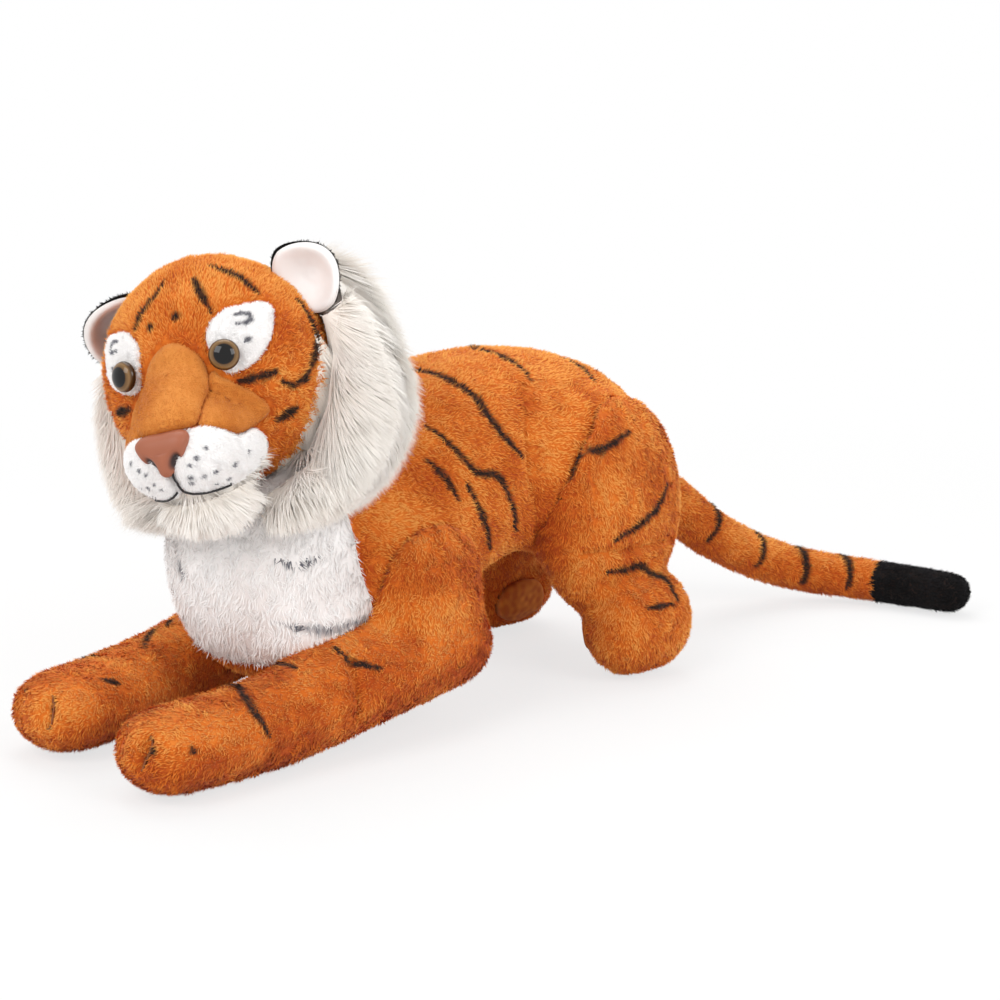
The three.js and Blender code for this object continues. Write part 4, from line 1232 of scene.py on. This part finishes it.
# depths of each face from the middle of the ear to its edge
SHARES = np.linspace(0, 1, EAR_RINGS + 1)
LINING_SHARES = [0, 0.25, 0.5, 0.72, 0.86, 0.95, 1]
LINING_DEPTHS = [6, 4.5, -1, -7, -9, -7.5, -4.5]
LINING = (SHARES, np.interp(SHARES, LINING_SHARES, LINING_DEPTHS))
BACKING = (SHARES, 11 - 14 * SHARES**2)


def out_of_ear(roots, normals):
    return roots - on_head([(0, EAR_BACK, 0)])[0] * MM


for side, sign, fold in (("left", 1, 4), ("right", -1, 58)):
    behind = ear_surface(sign, BACKING, 0.09, fold)
    inner = ear_surface(sign, (SHARES, BACKING[1] - 1), 0, fold)
    lining = ear_surface(sign, LINING, 0, fold)
    back = closed_form(f"ear_back_cloth_{side}", behind, inner, EAR_RINGS, EAR_COUNT)
    skin_values(back)
    dress(back, black_pile)
    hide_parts(f"ear_back_{side}")
    front = closed_form(f"ear_front_cloth_{side}", lining, inner, EAR_RINGS, EAR_COUNT)
    skin_values(front, height=0.6, speckle=0.05)
    dress(front, velvet)
    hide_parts(f"ear_front_{side}")
    nap = pile(f"ear_back_pile_{side}", back, 4000, 2.6, 1.1, out_of_ear, 71, rise=35, curl=10)
    dress(nap, black_pile)
    for piece in (back, front, nap):
        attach(piece, f"ear_{side}")


# Mane and chin: strips of long straight cream pile, combed away from the face, from behind each
# ear down over the shoulders and in under the chin.
long_pile = plush("cream long pile", (251, 243, 233), (254, 248, 241), (255, 252, 247),
                  (92, 92, 100), bump=0.1, sheen=0.7)
HAIR_LENGTH = 50
HAIR_WIDTH = 1.9
HAIR_LEAST = 6
SIDE_LIMIT = 198  # how far across any hair may reach
EAR_ROOM = 38  # round each ear, as far back as the next length
BEHIND_EARS = 40


def away_from_face(roots, normals):
    here = in_head(roots)
    ways = np.stack([here[:, 0], np.full(len(here), 22.0), here[:, 2] - 90], axis=1)
    return unit(ways) @ HEAD_TURN.T


def soft_shade(points, normals):
    return 0.1 * ripple(points, 40, 27)


# how far the hair reaches from the middle of the head, by degrees from the head's left
MANE_RIM = np.array([
    (-180, 138), (-169, 146), (-153, 158), (-140, 168), (-130, 170), (-115, 154), (-100, 134), (-90, 130),
    (-80, 136), (-68, 156), (-54, 174), (-45, 178), (-32, 178), (-23, 175), (-15, 167), (-6, 157),
    (6, 148), (12, 149), (23, 145), (40, 138), (60, 130), (120, 126), (153, 130), (173, 135), (180, 138),
])


def rim_at(spots):
    """How far the mane's rim is from the middle of the head, in the direction of each spot.
    On the animal's right the mane is swept back, so towards the front it reaches less far."""
    turns = np.arctan2(spots[:, 2], spots[:, 0])
    swept = np.maximum(-np.cos(turns), 0) * np.clip(20 - spots[:, 1], 0, 80)
    return np.interp(np.degrees(turns), *MANE_RIM.T) - 0.5 * swept


def hair_room(roots, ways):
    """How long the hair may be at each root, so that it ends near the rim of the mane."""
    free = np.full(len(roots), float(HAIR_LEAST))
    for step in range(4, 64, 3):
        place = roots + ways * step * MM
        spot = in_head(place)
        inside = np.hypot(spot[:, 0], spot[:, 2]) < rim_at(spot)
        inside &= abs(place[:, 0]) < SIDE_LIMIT * MM
        free[inside] = 0.85 * step + 2
    return free


def clear_of_ears(roots):
    """A test for places that aren't behind an ear, where hair would come through it."""
    here = in_head(roots)
    far = np.hypot(abs(here[:, 0]) - EAR_ASIDE, here[:, 2] - EAR_RISE)
    return far > np.where(here[:, 1] < BEHIND_EARS, EAR_ROOM, 0)


def draw_in(core, margin=15):
    """Draws a mane's cloth in from the rim, to leave room for the hair."""
    here = in_head(points_of(core))
    reach = np.hypot(here[:, 0], here[:, 2])
    here[:, (0, 2)] *= np.minimum(1, (rim_at(here) - margin) / reach)[:, None]
    move_to(core, on_head(here) * MM)


def near_core(core):
    """A test for places of the head beside the mane, below the ear and above the jaw."""

    def test(roots):
        heights = in_head(roots)[:, 2]
        return (gap_to([core], roots) < 18 * MM) & (heights < 25) & (heights > -105)

    return test


for side in ("left", "right"):
    core = skin_over(f"mane_cloth_{side}", [f"mane_{side}"], 5, 5, 3)
    draw_in(core)
    apply(core, "SMOOTH", factor=0.5, iterations=3)
    skin_values(core, speckle=0.1)
    dress(core, long_pile)
    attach(core, "head")
    for name, skin, count, spare, keep in (
        ("mane_pile", core, 26000, 2.2, clear_of([head, torso], 3)),
        ("mane_edge", head, 9000, 12, near_core(core)),
    ):
        hair = pile(
            f"{name}_{side}", skin, count, HAIR_LENGTH, HAIR_WIDTH, away_from_face, 81, rise=7,
            long_hair=True, keep=both(clear_of_ears, keep), stray=0.04, curl=60, ragged=0.2,
            within=hair_room, shade=soft_shade, spare=spare,
        )
        dress(hair, long_pile)
        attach(hair, "head")


LIPS = (0, -120, -70)


def away_from_lips(roots, normals):
    here = in_head(roots) - np.array(LIPS)
    return unit(here) @ HEAD_TURN.T + np.array([0, 0, -0.3])


for piece, count in ((chin_core, 6000), (chin, 8000)):
    skin_values(piece, speckle=0.1)
    dress(piece, long_pile)
    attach(piece, "head")
    tuft = pile(
        f"{piece.name}_pile", piece, count, 18, 1.8, away_from_lips, 91, rise=14, long_hair=True, stray=0.1,
        curl=30, keep=clear_of([head] + muzzles, 2), shade=soft_shade,
    )
    dress(tuft, long_pile)
    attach(tuft, "head")
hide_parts("chin_tuft")


# Hidden fixings: push-on washers behind the cloth, and the thread that closed the belly. The
# washers keep their CAD form, in a milky plastic.
washer_plastic, tree, shader = new_material("washer plastic")
cloud = on_object(tree, "ShaderNodeTexNoise", {"Scale": 300})
tint = mixed(tree, cloud, "Fac", colour(226, 226, 222), colour(244, 244, 240))
link(tree, tint, 2, shader, "Base Color")
fill_in(shader, {"Roughness": 0.45})
for name in ("eye_washer_left", "eye_washer_right", "nose_washer"):
    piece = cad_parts[name]
    piece.data.materials.clear()
    piece.data.materials.append(washer_plastic)
BELLY_SEAM = [(MIDDLE + (3 if step % 2 else -3), -219 + 6 * step, 30) for step in range(24)]
closing = thread(
    "closing_thread_laid", [BELLY_SEAM], [torso], 0.9, 1.5, brown_thread, "torso",
)
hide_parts("closing_thread")
